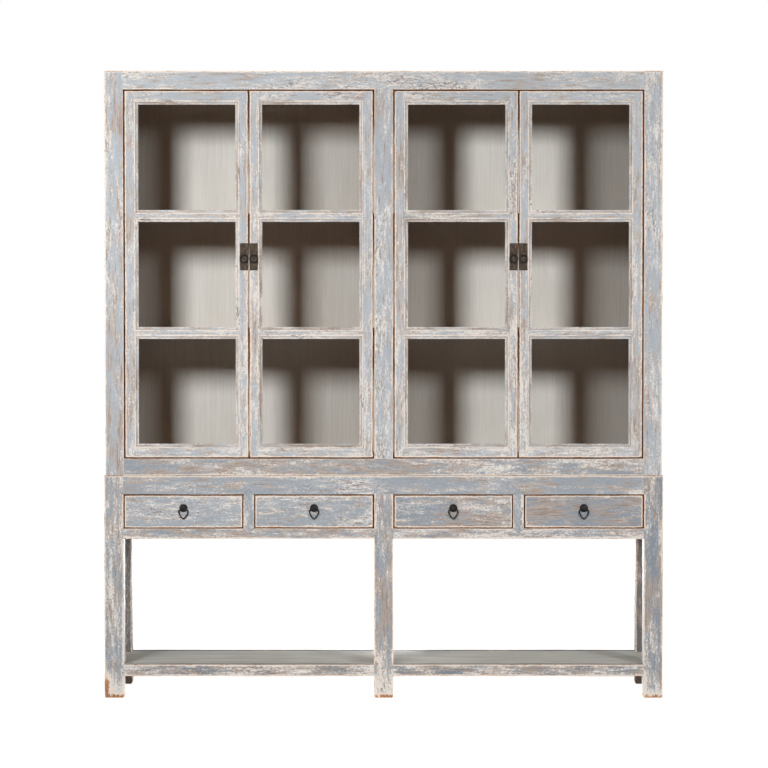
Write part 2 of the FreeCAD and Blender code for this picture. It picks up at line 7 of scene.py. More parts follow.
import bpy
import numpy as np
from bpy.props import FloatProperty, FloatVectorProperty, PointerProperty
from bpy.types import Operator, Panel, PropertyGroup
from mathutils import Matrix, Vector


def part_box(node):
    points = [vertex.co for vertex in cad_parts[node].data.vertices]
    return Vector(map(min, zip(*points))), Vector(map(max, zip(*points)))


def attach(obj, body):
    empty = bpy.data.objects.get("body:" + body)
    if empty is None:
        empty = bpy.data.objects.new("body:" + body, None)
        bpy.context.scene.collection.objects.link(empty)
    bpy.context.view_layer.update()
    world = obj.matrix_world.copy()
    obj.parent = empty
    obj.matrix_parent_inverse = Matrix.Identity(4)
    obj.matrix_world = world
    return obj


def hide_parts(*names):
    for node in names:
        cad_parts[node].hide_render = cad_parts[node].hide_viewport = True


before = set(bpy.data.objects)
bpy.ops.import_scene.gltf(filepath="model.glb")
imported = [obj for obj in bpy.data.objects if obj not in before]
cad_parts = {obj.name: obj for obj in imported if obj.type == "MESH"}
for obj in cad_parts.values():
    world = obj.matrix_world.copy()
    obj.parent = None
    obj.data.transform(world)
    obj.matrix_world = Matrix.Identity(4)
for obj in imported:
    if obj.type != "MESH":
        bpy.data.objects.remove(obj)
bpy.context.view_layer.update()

bl_info = {
    "name": "Rubbed display cabinet",
    "version": (1, 0, 0),
    "blender": (4, 5, 0),
    "location": "View3D > Sidebar > Cabinet",
    "description": "Builds the timbers, doors, drawers, pulls and stage of a rubbed display cabinet",
    "category": "Add Mesh",
}

rng = np.random.default_rng(23)

# How finely a timber is drawn: metres between its rows, points on a rounded corner or end, the space on
# each side of a place where its wear changes, and the share of its section that caps a rounded end
ROW_STEP = 0.028
ARC_POINTS = 5
STOP_GAP = 0.0005
CAP_SHARE = 0.8
SMOOTH_ANGLE = math.radians(38)

# How timbers meet and stray, in metres: how far a shoulder goes into its neighbour, how much a run sways,
# which is less in doors and drawers, how much an arris is nicked, and the lengths of the waves of both
SHOULDER = 0.0012
SWAY = 0.0004
FINE_SWAY = 0.0002
SWAY_WAVES = (0.35, 0.9)
NICK = 0.0005
NICK_WAVES = (0.05, 0.13, 0.31)

# Radii of the smaller arrises, in metres
PANEL_ARRIS = 0.0008
BOARD_ARRIS = 0.001
SHELF_ARRIS = 0.0015
BAR_ARRIS = 0.0012
DOOR_EDGE_ARRIS = 0.002
DRAWER_ARRIS = 0.0028

# Wear, as the edge attribute holds it: on an arris that shows, on a quiet one and on a bare face. It fades
# within a band in metres, which takes up at most a share of half a narrow flat.
SHOWN_WEAR = 0.85
QUIET_WEAR = 0.42
BARE_FACE = 1.3
WEAR_BAND = 0.005
BAND_SHARE = 0.8
WHOLE = (-math.inf, math.inf)

# A worn foot: how much chalkier it is, the share of its worn height that is rubbed bare, the share by which
# that goes higher on the side it leans to, and how bare it is
FOOT_CHALK = 0.26
FOOT_BARE = 0.2
FOOT_LEAN = 4.5
FOOT_RUB = 1.04

# How much chalkier every timber is at its ends, and the metres in which that fades
END_CHALK = 0.07
END_REACH = 0.05

# Mitred tips: their rows, how near they come to a point, as a share, and in metres their bevel, their soiled
# line and how far they stand out
TIP_ROWS = 6
TIP_REACH = 0.97
TIP_BEVEL = 0.0007
TIP_LINE = 0.0016
TIP_PROUD = 0.0003

# Mouldings: points along each side, and the width of the quirk's fall, the width and fall of the lip at the
# glass and the wander of the whole, in metres
MOULDING_POINTS = 14
QUIRK_RUN = 0.0004
LIP_RUN = 0.001
LIP_FALL = 0.0006
MOULDING_WANDER = 0.0002

# Pulls: points round a knob, a door ring and a wire. A door ring's wire is worn thin at the top, where it
# hangs, and a drawer ring's is stouter than its solid's, as shares of the wire's radius.
KNOB_POINTS = 48
RING_POINTS = 72
WIRE_POINTS = 14
RING_MEAN = 1.05
RING_THINNED = 0.17
RING_STOUT = 1.1

# How far the pattern of a piece of wood or iron may be shifted, in metres
WOOD_DRIFT = 40
IRON_DRIFT = 4

# The stage, in metres, watts and degrees. A lamp has its name, place, target, power and size.
WHITE = (1, 1, 1, 1)
FLOOR_REACH = 40.0
FLOOR_POINTS = 9
FLOOR_DROP = 0.0006
SOFT_LIGHT = 0.03
LAMP_SPREAD = 55
LAMPS = (
    ("lamp_left", (-2.15, -4.5, 2.85), (-0.85, 0, 1.52), 19.3, 1.0),
    ("lamp_right", (2.9, -4.5, 2.85), (1.45, 0, 1.45), 16.7, 0.8),
    ("lamp_behind", (0.0, 4.6, 0.12), (0.0, 0.2, 1.1), 15.0, 0.2),
    ("lamp_left_side", (-5.2, 0.35, 0.12), (-0.9, 0.1, 1.1), 15.0, 0.2),
    ("lamp_right_side", (5.2, 0.35, 0.12), (0.9, 0.1, 1.1), 15.0, 0.2),
    ("lamp_above", (0.0, 0.15, 5.0), (0.0, 0.15, 2.0), 8.0, 0.6),
)
CAMERA_PLACE = (0.001, -11.199, 1.461)
CAMERA_DOWN = 2.33
CAMERA_LENS = 160.6
CAMERA_SENSOR = 36.0

# The look of each piece, from left to right where there are more: how much chalkier it is than the rest,
# how deep its paint is, from pale grey at 0 through slate at 1 to a dark soiled grey at 2, which on the
# parts at the back also stands in for their shade, and how much thinner and browner it is worn. A pair of
# these goes from one end of the piece to the other.
POST_LOOKS = {-1: (0.01, 0.44, 0.06), 0: (0.01, 0.46, 0.0), 1: (0.03, 0.48, 0.02)}
HEAD_LOOK = (0.03, 0.3, 0.03)
SILL_LOOK = (0.04, 0.86, 0.09)
RAIL_LOOK = (-0.02, 0.74, 0.02)
LOW_RAIL_LOOK = (0.06, 1.0, 0.14)
LEG_LOOKS = {
    -1: ((0.04, 0.96, 0.05), (0.08, 0.74, -0.02)),
    0: ((0.06, 0.96, 0.13), (0.03, 0.86, 0.07)),
    1: ((0.09, 1.1, 0.08), (-0.1, 1.1, 0.02)),
}
SHELF_LOOK = (0.07, 1.6, 0.16)
DOOR_FEET = (0.1, 0.42, 0.07)
DOOR_HEADS = ((-0.08, 0.4, 0.03), (-0.06, 0.36, 0.02), (-0.06, 0.36, 0.02), (-0.06, 0.26, 0.0))
MOULDING_LOOK = (0.1, 0.12, 0.16)
DRAWER_LOOKS = (
    (0.0, 0.66, -0.04),
    (0.0, 0.72, 0.0),
    ((-0.06, 0.94, 0.03), (0.05, 0.84, 0.16)),
    ((-0.06, 0.9, 0.1), (-0.14, 0.92, 0.0)),
)
# Painted shade: the parts at the back of the stand go to a dark soiled grey that also stands in for the shade
# they lie in
HIDDEN_LOOK = (-0.12, 1.8, -0.02)
BACK_LOOK = (-0.08, 0.75, 0.1)
PLAIN_LOOK = (0.0, 0.0, 0.0)

# Columns round a timber's section. At each of its four corners there is a point on the flat before it, the
# points of its arc and a point on the flat after it. A side is a long face, counted from +b round to -c.
CORNER = np.repeat(np.arange(4), ARC_POINTS + 2)
STEP = np.tile(np.concatenate([[0], np.linspace(0, 1, ARC_POINTS), [1]]), 4)
FLAT = np.tile(np.array([1] + [0] * ARC_POINTS + [1], bool), 4)
SIDE = (CORNER + (STEP >= 0.5)) % 4
TURN = (CORNER + STEP) * np.pi / 2
SIGN_B = np.array([1, -1, -1, 1])[CORNER]
SIGN_C = np.array([1, 1, -1, -1])[CORNER]

# Faces of a leg or post towards its neighbours and away from them: left, middle and right
INNER_FACES = {-1: ("+x",), 0: ("-x", "+x"), 1: ("-x",)}
OUTER_FACES = {-1: ("-x",), 0: (), 1: ("+x",)}


def linear(code):
    """Linear RGB of an sRGB hex colour, with a full alpha."""
    srgb = [int(code[i:i + 2], 16) / 255 for i in (1, 3, 5)]
    return (*(c / 12.92 if c <= 0.04045 else ((c + 0.055) / 1.055) ** 2.4 for c in srgb), 1.0)


def length_prop(name, description, default):
    return FloatProperty(name=name, description=description, default=default, min=0.0, unit="LENGTH")


def colour_prop(name, description, code):
    return FloatVectorProperty(name=name, description=description, default=linear(code), subtype="COLOR",
                               size=4, min=0.0, max=1.0)


class CabinetSizes(PropertyGroup):
    """Widths of the timbers, which the frame's boxes don't give by themselves."""

    leg_width: length_prop("Leg width", "Width of a leg seen from the front", 0.063)
    rail_thickness: length_prop("Rail thickness", "Depth of the stand's rails", 0.030)
    shelf_rail: length_prop("Shelf rail", "Depth of the rails round the bottom shelf", 0.040)
    stile_width: length_prop("Drawer stile", "Width of a stile between two drawers", 0.035)
    post_width: length_prop("Post width", "Width of a cabinet post seen from the front", 0.061)
    cross_rail: length_prop("Cross rail", "Thickness of the cabinet's cross rails", 0.030)
    panel_thickness: length_prop("Panel", "Thickness of the panels", 0.012)
    board_lap: length_prop("Board lap", "How far a board lies in its rebate", 0.008)
    shelf_thickness: length_prop("Inner shelf", "Thickness of an inner shelf", 0.018)
    door_gap: length_prop("Door gap", "Gap round a door", 0.0035)
    hinge_stile: length_prop("Hinge stile", "Flat width of a door's hinge stile", 0.030)
    lock_stile: length_prop("Lock stile", "Flat width of a door's lock stile", 0.027)
    door_rail: length_prop("Door rail", "Flat width of a door's rails", 0.030)
    door_bar: length_prop("Glazing bar", "Flat width of a glazing bar", 0.010)
    door_thickness: length_prop("Door thickness", "Thickness of a door", 0.026)
    moulding_width: length_prop("Moulding", "Width of the moulding round a pane", 0.014)
    moulding_depth: length_prop("Moulding depth", "Depth from the door's face to the glass", 0.012)
    glass_thickness: length_prop("Glass", "Thickness of a pane", 0.004)
    back_bead: length_prop("Back bead", "Width of the beads behind a pane", 0.010)
    arris: length_prop("Arris", "Radius of a rubbed arris", 0.0022)
    door_arris: length_prop("Door arris", "Radius of a door's outer arris", 0.003)
    foot_round: length_prop("Foot", "Radius round the underside of a foot", 0.006)
    foot_wear: length_prop("Foot wear", "Height to which a foot is worn", 0.1)
    ring_wire: length_prop("Ring wire", "Radius of the wire of a ring", 0.0019)
    ring_drop: length_prop("Ring drop", "Height of a drawer ring below its bar", 0.0288)
    ring_corner: length_prop("Ring corner", "Radius where a drawer ring leaves its bar", 0.004)


class CabinetColours(PropertyGroup):
    """Colours of the finishes."""

    paint_light: colour_prop("Paint, light", "Grey paint of the cabinet", "#bcc2c8")
    paint_dark: colour_prop("Paint, dark", "Slate paint of the stand", "#88909a")
    # Besides soil, this dark grey is painted shade on the back legs and rails of the stand
    paint_soiled_and_shade: colour_prop("Paint, soiled", "Soiled paint of the parts at the back", "#6c6662")
    paint_thin: colour_prop("Paint, thin", "Warm beige where the paint is worn thin", "#bfab9b")
    ground_light: colour_prop("Ground, light", "Chalky ground under the paint", "#f0ebe6")
    ground_dark: colour_prop("Ground, dark", "Stained ground under the paint", "#e0d7cf")
    rim: colour_prop("Rim", "Ground rubbed smooth along an arris", "#f3e4d6")
    wood_tan: colour_prop("Wood, rubbed", "Bare wood on a rubbed arris", "#c38d60")
    wood_brown: colour_prop("Wood, soiled", "Soiled wood in a chip", "#7d6758")
    wash_light: colour_prop("Wash, light", "Pale wash on the back panels", "#eae9e3")
    wash_dark: colour_prop("Wash, dark", "Grain that shows through the wash", "#dfddd6")
    inner_light: colour_prop("Inner wood, light", "Brown wood of shelves and inner faces", "#b28e68")
    inner_dark: colour_prop("Inner wood, dark", "Grain of the brown inner wood", "#866649")
    shelf_light: colour_prop("Shelf, light", "Grey-green paint on the bottom shelf", "#e8e9e2")
    shelf_dark: colour_prop("Shelf, dark", "Streaks in the grey-green paint", "#d3d5ce")
    plain_light: colour_prop("Plain wood, light", "Unpainted wood of drawers and runners", "#b8946e")
    plain_dark: colour_prop("Plain wood, dark", "Grain of the unpainted wood", "#8c6a4a")
    brass_light: colour_prop("Brass, rubbed", "Rubbed spots of the plates", "#625345")
    brass_dark: colour_prop("Brass, patina", "Dark patina of the plates", "#3c322a")
    iron_light: colour_prop("Iron, rubbed", "Rubbed spots of the iron", "#302d2b")
    iron_dark: colour_prop("Iron, black", "Black of the iron", "#161515")
    glass: colour_prop("Glass", "Tint of the panes", "#0c0e0e")
    floor: colour_prop("Floor", "Plain pale floor", "#d6d6d6")


# Building blocks of the meshes

def ranges(node):
    """Lowest and highest values of a frame node along X, Y and Z."""
    return np.transpose(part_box(node))


def span(node, axis):
    """Lowest and highest value of a frame node along one axis."""
    return tuple(ranges(node)["xyz".index(axis)])


def block(points, grain, edge, slots=None, loop=False, look=PLAIN_LOOK):
    """A closed surface from a grid of points: rows along a path, columns round a section.

    Quads join neighbouring rows and columns, and the columns close on themselves. With loop the rows close
    too. Otherwise each end is filled with a strip of quads between mirrored points of the section.
    If the enclosed volume comes out negative, every quad is turned round, so that faces point outwards.
    The look is one row of the looks above, for the whole block or for each point.
    """
    rows, cols = points.shape[:2]
    index = np.arange(rows * cols).reshape(rows, cols)
    if loop:
        index = np.vstack([index, index[:1]])
    here, there = index[:-1], index[1:]
    quads = np.stack([here, np.roll(here, -1, 1), np.roll(there, -1, 1), there], -1).reshape(-1, 4)
    if slots is None:
        slots = np.zeros(cols, int)
    zone = np.tile(slots, len(here))
    if not loop:
        i = np.arange(cols // 2 - 1)
        strip = np.stack([i, i + 1, cols - 2 - i, cols - 1 - i], -1)
        quads = np.vstack([quads, strip[:, ::-1], strip + (rows - 1) * cols])
        zone = np.concatenate([zone, np.zeros(2 * len(strip), int)])
    places = points.reshape(-1, 3)
    a, b, c, d = (places[quads[:, k]] for k in range(4))
    volume = np.einsum("ij,ij->", a, np.cross(b, c)) + np.einsum("ij,ij->", a, np.cross(c, d))
    if volume < 0:
        quads = quads[:, ::-1]
    edge = np.broadcast_to(edge, (rows, cols)).reshape(-1)
    look = np.broadcast_to(look, (rows, cols, 3)).reshape(-1, 3)
    grain = grain.reshape(-1, 3)
    return {"points": places, "quads": quads, "grain": grain, "edge": edge, "zone": zone, "look": look}


def piece(name, blocks, finishes, node, body):
    """One object from several closed blocks. It stands for a frame node and rides on that node's body."""
    offsets = np.cumsum([0] + [len(b["points"]) for b in blocks[:-1]])
    points = np.concatenate([b["points"] for b in blocks])
    quads = np.concatenate([b["quads"] + offset for b, offset in zip(blocks, offsets)])
    mesh = bpy.data.meshes.new(name)
    mesh.vertices.add(len(points))
    mesh.vertices.foreach_set("co", points.astype(np.float32).ravel())
    mesh.loops.add(quads.size)
    mesh.loops.foreach_set("vertex_index", quads.astype(np.int32).ravel())
    mesh.polygons.add(len(quads))
    mesh.polygons.foreach_set("loop_start", np.arange(0, quads.size, 4, dtype=np.int32))
    mesh.polygons.foreach_set("material_index", np.concatenate([b["zone"] for b in blocks]).astype(np.int32))
    mesh.polygons.foreach_set("use_smooth", np.ones(len(quads), bool))
    mesh.update(calc_edges=True)
    for key in ("grain", "look"):
        rows = mesh.attributes.new(key, "FLOAT_VECTOR", "POINT")
        rows.data.foreach_set("vector", np.concatenate([b[key] for b in blocks]).astype(np.float32).ravel())
    edge = mesh.attributes.new("edge", "FLOAT", "POINT")
    edge.data.foreach_set("value", np.concatenate([b["edge"] for b in blocks]).astype(np.float32))
    mesh.set_sharp_from_angle(angle=SMOOTH_ANGLE)
    if mesh.validate():
        raise RuntimeError("the mesh of %s was not sound" % name)
    for label in finishes:
        mesh.materials.append(finish(label))
    thing = bpy.data.objects.new(name, mesh)
    bpy.context.scene.collection.objects.link(thing)
    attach(thing, body)
    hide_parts(node)


def side_index(face, along):
    """Number of a long face of a timber, counted from +b round to -c, for a face named like -y."""
    axis = "xyz".index(face[1])
    turn = (axis - "xyz".index(along)) % 3
    return (0 if turn == 1 else 1) + (0 if face[0] == "+" else 2)


def drawn_in(s, length, start_round, end_round):
    """How far a section draws in at s along a run: R - sqrt(R^2 - d^2) at a depth d in a rounded end."""
    total = np.zeros_like(s)
    for radius, from_end in ((start_round, s), (end_round, length - s)):
        depth = np.clip(radius - from_end, 0, radius)
        total += radius - np.sqrt(radius ** 2 - depth ** 2)
    return total


def waves(s, lengths):
    """A slow uneven wave between about -1 and 1: the mean of sines of the given lengths at drawn phases."""
    phases = rng.uniform(0, 2 * np.pi, len(lengths))
    return sum(np.sin(2 * np.pi * s / w + p) for w, p in zip(lengths, phases)) / len(lengths)


def timber_rows(length, stops, foot, ends):
    """Places of a timber's rows along it, and the share of its section that each row keeps.

    Rows stand at even steps, on the quarter circles of rounded ends, at halving heights of a foot, a wear
    band away from each end and on both sides of each stop. A rounded end has one more row, drawn smaller,
    as its cap.
    """
    curl = 1 - np.cos(np.linspace(0, np.pi / 2, ARC_POINTS))
    s = np.concatenate([
        np.linspace(0, length, max(3, int(length / ROW_STEP))),
        ends[0] * curl,
        length - ends[1] * curl,
        abs(foot) / np.array([1, 2, 4, 8]),
        [ends[0] + WEAR_BAND, length - ends[1] - WEAR_BAND],
        stops - STOP_GAP,
        stops + STOP_GAP,
    ])
    s = np.unique(np.round(np.clip(s, 0, length), 6))
    share = np.ones(len(s))
    if ends[0]:
        s = np.append(0.0, s)
        share = np.append(CAP_SHARE, share)
    if ends[1]:
        s = np.append(s, length)
        share = np.append(share, CAP_SHARE)
    return s[:, None], share[:, None]


def timber_shape(low, high, axis, radius, s, share, inset, sway):
    """Points of a timber, and its grain: the place along it first and then the two places across it.

    A section point is its corner's centre plus the corner radius in the point's direction. Where the
    section draws in, the radius shrinks first and then the centre moves in. Slow waves thin the arrises and
    bend the run.
    """
    b, c = (axis + 1) % 3, (axis + 2) % 3
    half, middle = (high - low) / 2, (high + low) / 2
    r = np.broadcast_to(radius, 4)[CORNER]
    band = np.minimum(WEAR_BAND, BAND_SHARE * (half - r.max()))
    shift_b = np.where(FLAT & (SIDE % 2 == 1), band[b], 0)
    shift_c = np.where(FLAT & (SIDE % 2 == 0), band[c], 0)
    extra = np.maximum(inset - r, 0)
    uneven = np.stack([waves(s[:, 0], NICK_WAVES) for _ in range(4)], -1)[:, CORNER]
    nicked = NICK * np.where(FLAT, 0, np.clip(uneven * 2 - 0.5, 0, 1))
    arc = np.maximum(r - inset, 0) - nicked
    points = np.zeros((len(s), len(CORNER), 3))
    points[..., axis] = low[axis] + s
    points[..., b] = share * (SIGN_B * (half[b] - r - shift_b - extra) + np.cos(TURN) * arc)
    points[..., c] = share * (SIGN_C * (half[c] - r - shift_c - extra) + np.sin(TURN) * arc)
    drift = rng.uniform(-WOOD_DRIFT, WOOD_DRIFT, 3)
    grain = np.stack([points[..., axis] - low[axis], points[..., b], points[..., c]], -1) + drift
    points[..., b] += middle[b] + sway * waves(s, SWAY_WAVES)
    points[..., c] += middle[c] + sway * waves(s, SWAY_WAVES)
    return points, grain


def timber_wear(s, start, length, along, show, joined, bare, darkened, ends):
    """The edge attribute of a timber, from below 0 where it is darkened to its highest where it is bare.

    It is high on an arris that shows and falls to the flat's own value a wear band away. Each bare face has
    a first and a last place along the grain, and its arris goes from bare to worn. Where a neighbour is
    joined to a face, the arrises of that face carry no wear. A rounded end is bare at its tip.
    """
    shown = np.full(4, QUIET_WEAR)
    for face in show:
        k = side_index(face, along)
        shown[[k, k - 1]] = SHOWN_WEAR
    places = s[:, 0] + start
    flats = np.zeros((len(s), 4))
    for face in darkened:
        flats[:, side_index(face, along)] = -QUIET_WEAR
    for face, (first, last) in bare.items():
        flats[(places >= first) & (places <= last), side_index(face, along)] = BARE_FACE
    before = np.where(flats[:, CORNER] > 0, 1 - STEP, 0)
    after = np.where(flats[:, (CORNER + 1) % 4] > 0, STEP, 0)
    arris = shown[CORNER]
    edge = np.where(FLAT, flats[:, SIDE], arris + (BARE_FACE - arris) * np.maximum(before, after))
    for face, first, last in joined:
        k = side_index(face, along)
        near = np.isin(CORNER, [k, (k - 1) % 4]) & ~FLAT
        edge[np.ix_((places >= first) & (places <= last), near)] = 0
    for end, from_end in zip(ends, (s, length - s)):
        if end:
            rounded = SHOWN_WEAR + (BARE_FACE - SHOWN_WEAR) * np.clip(1 - from_end / end, 0, 1)
            edge = np.maximum(edge, rounded * np.clip(1 - (from_end - end) / WEAR_BAND, 0, 1))
    return edge


def timber(x, y, z, along, radius, show=("-y",), joined=(), bare=None, inside=(), foot=0.0, lean=0,
           darkened=(), ends=(0.0, 0.0), sway=SWAY, look=PLAIN_LOOK):
    """A straight timber between two values of x, y and z: a rounded rectangle carried along the grain.

    Show names the faces with worn arrises, joined the faces where a neighbour meets it and from where to
    where, bare and darkened its bare faces and those painted darker, inside the faces with the second finish,
    and ends the radii of its ends. The look goes evenly from end to end, chalkier at the ends. A foot is worn
    up to the given height, chalky and rubbed bare below, higher on the side that it leans to, and one with a
    negative height gets painted shade instead, darkest at the bottom.
    """
    axis = "xyz".index(along)
    bare = bare or {}
    low, high = np.sort(np.array([x, y, z], float), axis=1).T
    length = high[axis] - low[axis]
    stops = [place for _, *run in joined for place in run]
    stops += [place for run in bare.values() for place in run]
    s, share = timber_rows(length, np.array(stops) - low[axis], foot, ends)
    points, grain = timber_shape(low, high, axis, radius, s, share, drawn_in(s, length, *ends), sway)
    edge = timber_wear(s, low[axis], length, along, show, joined, bare, darkened, ends)
    edge = np.where(share < 1, 0, edge)
    first, last = np.broadcast_to(look, (2, 3))
    look = (first + (last - first) * s / length)[:, None] * np.ones((len(CORNER), 1))
    look[..., 0] += END_CHALK * np.exp(-np.minimum(s, length - s) / END_REACH)
    if foot > 0:
        reach = FOOT_BARE * foot * (1 + FOOT_LEAN * (SIGN_B == lean))
        edge = np.maximum(edge, np.clip(2 - 2 * s / reach, 0, 1) * FOOT_RUB)
        look[..., 0] += np.clip(1.5 - 1.5 * s / foot, 0, 1) * FOOT_CHALK * (1 + abs(lean) / 2)
    # Painted shade: a negative foot darkens the timber towards its bottom, for a back leg standing in shade
    elif foot < 0:
        edge = edge - np.clip(1.5 + 1.5 * s / foot, 0, 1) * (edge + SHOWN_WEAR)
    slots = np.zeros(4, int)
    for face in inside:
        slots[side_index(face, along)] = 1
    return block(points, grain, edge, slots[SIDE], look=look)


def mitred_tip(first, second, apex, face, deep, darkened=(1, 1), look=PLAIN_LOOK):
    """A tip let into a neighbour's face: a bevelled strip between two lines that meet at the apex.

    Rows run from the base, first to second, towards the apex, and each is the base drawn in by its own
    share. A row crosses from side to side with a bevel at each, and a soiled side has a line with a
    negative edge value. The bevel takes up a fifth and the line two fifths of a narrow row.
    """
    first, second, apex = (np.array(v) for v in (first, second, apex))
    share = np.linspace(0, TIP_REACH, TIP_ROWS)[:, None]
    left = first * (1 - share) + apex * share
    right = second * (1 - share) + apex * share
    wide = np.linalg.norm(right - left, axis=1, keepdims=True)
    bevel = np.minimum(TIP_BEVEL / wide, 0.2)
    line = np.minimum(TIP_LINE / wide, 0.4)
    across = np.hstack([0 * wide, 0 * wide, bevel, line, 1 - line, 1 - bevel, 0 * wide + 1, 0 * wide + 1])
    flat = left[:, None] * (1 - across[..., None]) + right[:, None] * across[..., None]
    depth = np.array([deep, TIP_BEVEL, 0, 0, 0, 0, TIP_BEVEL, deep]) - TIP_PROUD
    points = np.stack([flat[..., 0], np.broadcast_to(face + depth, across.shape), flat[..., 1]], -1)
    a, b = -np.array(darkened)
    run = (share * np.linalg.norm(apex - (first + second) / 2)) * np.ones(len(depth))
    grain = np.stack([run, across * wide, 0 * run], -1) + rng.uniform(-WOOD_DRIFT, WOOD_DRIFT, 3)
    return block(points, grain, np.array([a, a, a, 0, 0, b, b, b]), look=look)


def knob(centre, face, radius, height):
    """A cast knob: a flange and a low dome turned about a line along Y, with a mouth sunk below its middle.

    The dome stands over its rim by its height times sqrt(1 - (r / R)^2). The mouth sinks the surface by a
    smooth bump of the place across and below the middle. All its parts are shares of the radius and height.
    """
    angle = np.linspace(0, 2 * np.pi, KNOB_POINTS, endpoint=False)
    rim, dome = radius * 0.16, radius * 0.94
    turn = np.linspace(0, np.pi / 2, 16)[:-1]
    radii = np.concatenate([[radius, radius, radius * 0.985, dome], dome * np.cos(turn[1:]), [dome * 0.02]])
    rise = np.concatenate([[0, rim * 0.8, rim, rim], rim + (height - rim) * np.sin(turn[1:]), [height]])
    x = radii[:, None] * np.sin(angle)
    z = radii[:, None] * np.cos(angle)
    mouth = np.exp(-(x / (radius * 0.42)) ** 4 - ((z / radius + 0.72) / 0.26) ** 4)
    sunk = np.minimum(height * 0.55, np.maximum(rise - rim * 0.5, 0)[:, None]) * mouth
    points = np.stack([centre[0] + x, face - rise[:, None] + sunk, centre[1] + z], -1)
    return block(points, points + rng.uniform(-IRON_DRIFT, IRON_DRIFT, 3), 0.0)


def wire(path, radius):
    """A round wire along a closed path in an upright plane: a circle across the path at each of its points.

    The circle lies between Y and the tangent, found from the neighbouring points, turned a quarter in the
    plane.
    """
    up = np.array([0.0, 1.0, 0.0])
    ahead = np.roll(path, -1, 0) - np.roll(path, 1, 0)
    ahead /= np.linalg.norm(ahead, axis=1, keepdims=True)
    out = np.cross(ahead, up)
    angle = np.linspace(0, 2 * np.pi, WIRE_POINTS, endpoint=False)[None, :, None]
    radius = np.broadcast_to(radius, len(path))[:, None, None]
    points = path[:, None, :] + radius * (np.cos(angle) * out[:, None, :] + np.sin(angle) * up)
    return block(points, points + rng.uniform(-IRON_DRIFT, IRON_DRIFT, 3), 0.0, loop=True)


def pointed_ring(wide, drop, corner):
    """The line of a ring that hangs from a straight bar and ends in a point, about the middle of its bar.

    The bar ends in quarter circles. Below them the half width is the widest times cos(a)^1.8 at a depth in
    proportion to sin(a), which bulges at first and then runs nearly straight to the point.
    """
    a = np.linspace(0, np.pi / 2, 20)
    bend = np.linspace(0, np.pi / 2, 6)[:-1]
    x = np.concatenate([np.linspace(0, wide - corner, 6)[:-1], wide - corner + corner * np.sin(bend),
                        wide * np.cos(a) ** 1.8])
    z = np.concatenate([np.zeros(5), corner * (np.cos(bend) - 1), -corner - (drop - corner) * np.sin(a)])
    right = np.stack([x, 0 * x, z], -1)
    return np.concatenate([right, right[-2:0:-1] * (-1, 1, 1)])


def moulding(x, z, face, sizes, look):
    """The moulding round one pane: a section carried round the rectangle, mitred at its corners.

    A section point at width w stands on the rectangle drawn in by w. The section is a raised round bead, a
    sharp quirk and a splay that falls to a lip at the glass. It is worn on the bead and the lip, and darker
    in the quirk and at the glass.
    """
    wide, deep = sizes.moulding_width, sizes.moulding_depth
    bead, rise, quirk, splay = wide * 0.43, deep * 0.165, deep * 0.12, deep * 0.42
    turn = np.linspace(np.pi, 0, 7)
    round_w, round_d = bead / 2 + bead / 2 * np.cos(turn), -rise * np.sin(turn)
    w = np.concatenate([[0], round_w, [bead + QUIRK_RUN, wide - LIP_RUN, wide, wide, wide / 2]])
    d = np.concatenate([[deep], round_d, [quirk, splay - LIP_FALL, splay, deep, deep]])
    worn = np.concatenate([[0], 0.2 + 0.35 * np.sin(turn), [-0.3, 0.2, 0.5, -0.3, 0]])
    corners = np.array([[x[0], z[0]], [x[1], z[0]], [x[1], z[1]], [x[0], z[1]]])
    inward = np.array([[1, 1], [-1, 1], [-1, -1], [1, -1]])
    t = np.linspace(0, 1, MOULDING_POINTS, endpoint=False)[None, :, None, None]
    start = (corners[:, None] + inward[:, None] * w[None, :, None])[:, None]
    stop = np.roll(start, -1, 0)
    flat = (start * (1 - t) + stop * t).reshape(-1, len(w), 2)
    points = np.stack([flat[..., 0], np.broadcast_to(face + d, flat.shape[:2]), flat[..., 1]], -1)
    size = np.array([x[1] - x[0], z[1] - z[0]] * 2)
    run = (np.cumsum(size) - size)[:, None] + size[:, None] * t[0, :, 0, 0]
    run = np.minimum(run, size.sum() - run).reshape(-1, 1) * np.ones(len(w))
    grain = np.stack([run, np.broadcast_to(w, run.shape), np.broadcast_to(d, run.shape)], -1)
    points[..., 1] += MOULDING_WANDER * waves(run[:, :1], (0.07, 0.19))
    return block(points, grain + rng.uniform(-WOOD_DRIFT, WOOD_DRIFT, 3), worn, loop=True, look=look)


# Finishes

# A Mix node takes its share at 0 and its colours at 6 and 7. A MapRange node takes its value at 0, the
# range that the value crosses at 1 and 2, and what that becomes at 3, which is 0 unless it is given, and 4.
SMOOTH = {"interpolation_type": "SMOOTHSTEP"}
COLOURS = {"data_type": "RGBA", "out": 2}
SCALED_SUM = {"operation": "MULTIPLY_ADD"}


def lay(tree, kind, inputs=None, out=0, **settings):
    """Adds a node with its settings, sets or links its inputs, and gives one of its outputs."""
    node = tree.nodes.new("ShaderNode" + kind)
    for key, value in settings.items():
        setattr(node, key, value)
    for key, value in (inputs or {}).items():
        if isinstance(value, bpy.types.NodeSocket):
            tree.links.new(value, node.inputs[key])
        else:
            node.inputs[key].default_value = value
    return node.outputs[out]


def new_finish(name):
    """An empty node material with its shader."""
    material = bpy.data.materials.new(name)
    material.use_nodes = True
    tree = material.node_tree
    return material, tree, tree.nodes["Principled BSDF"]


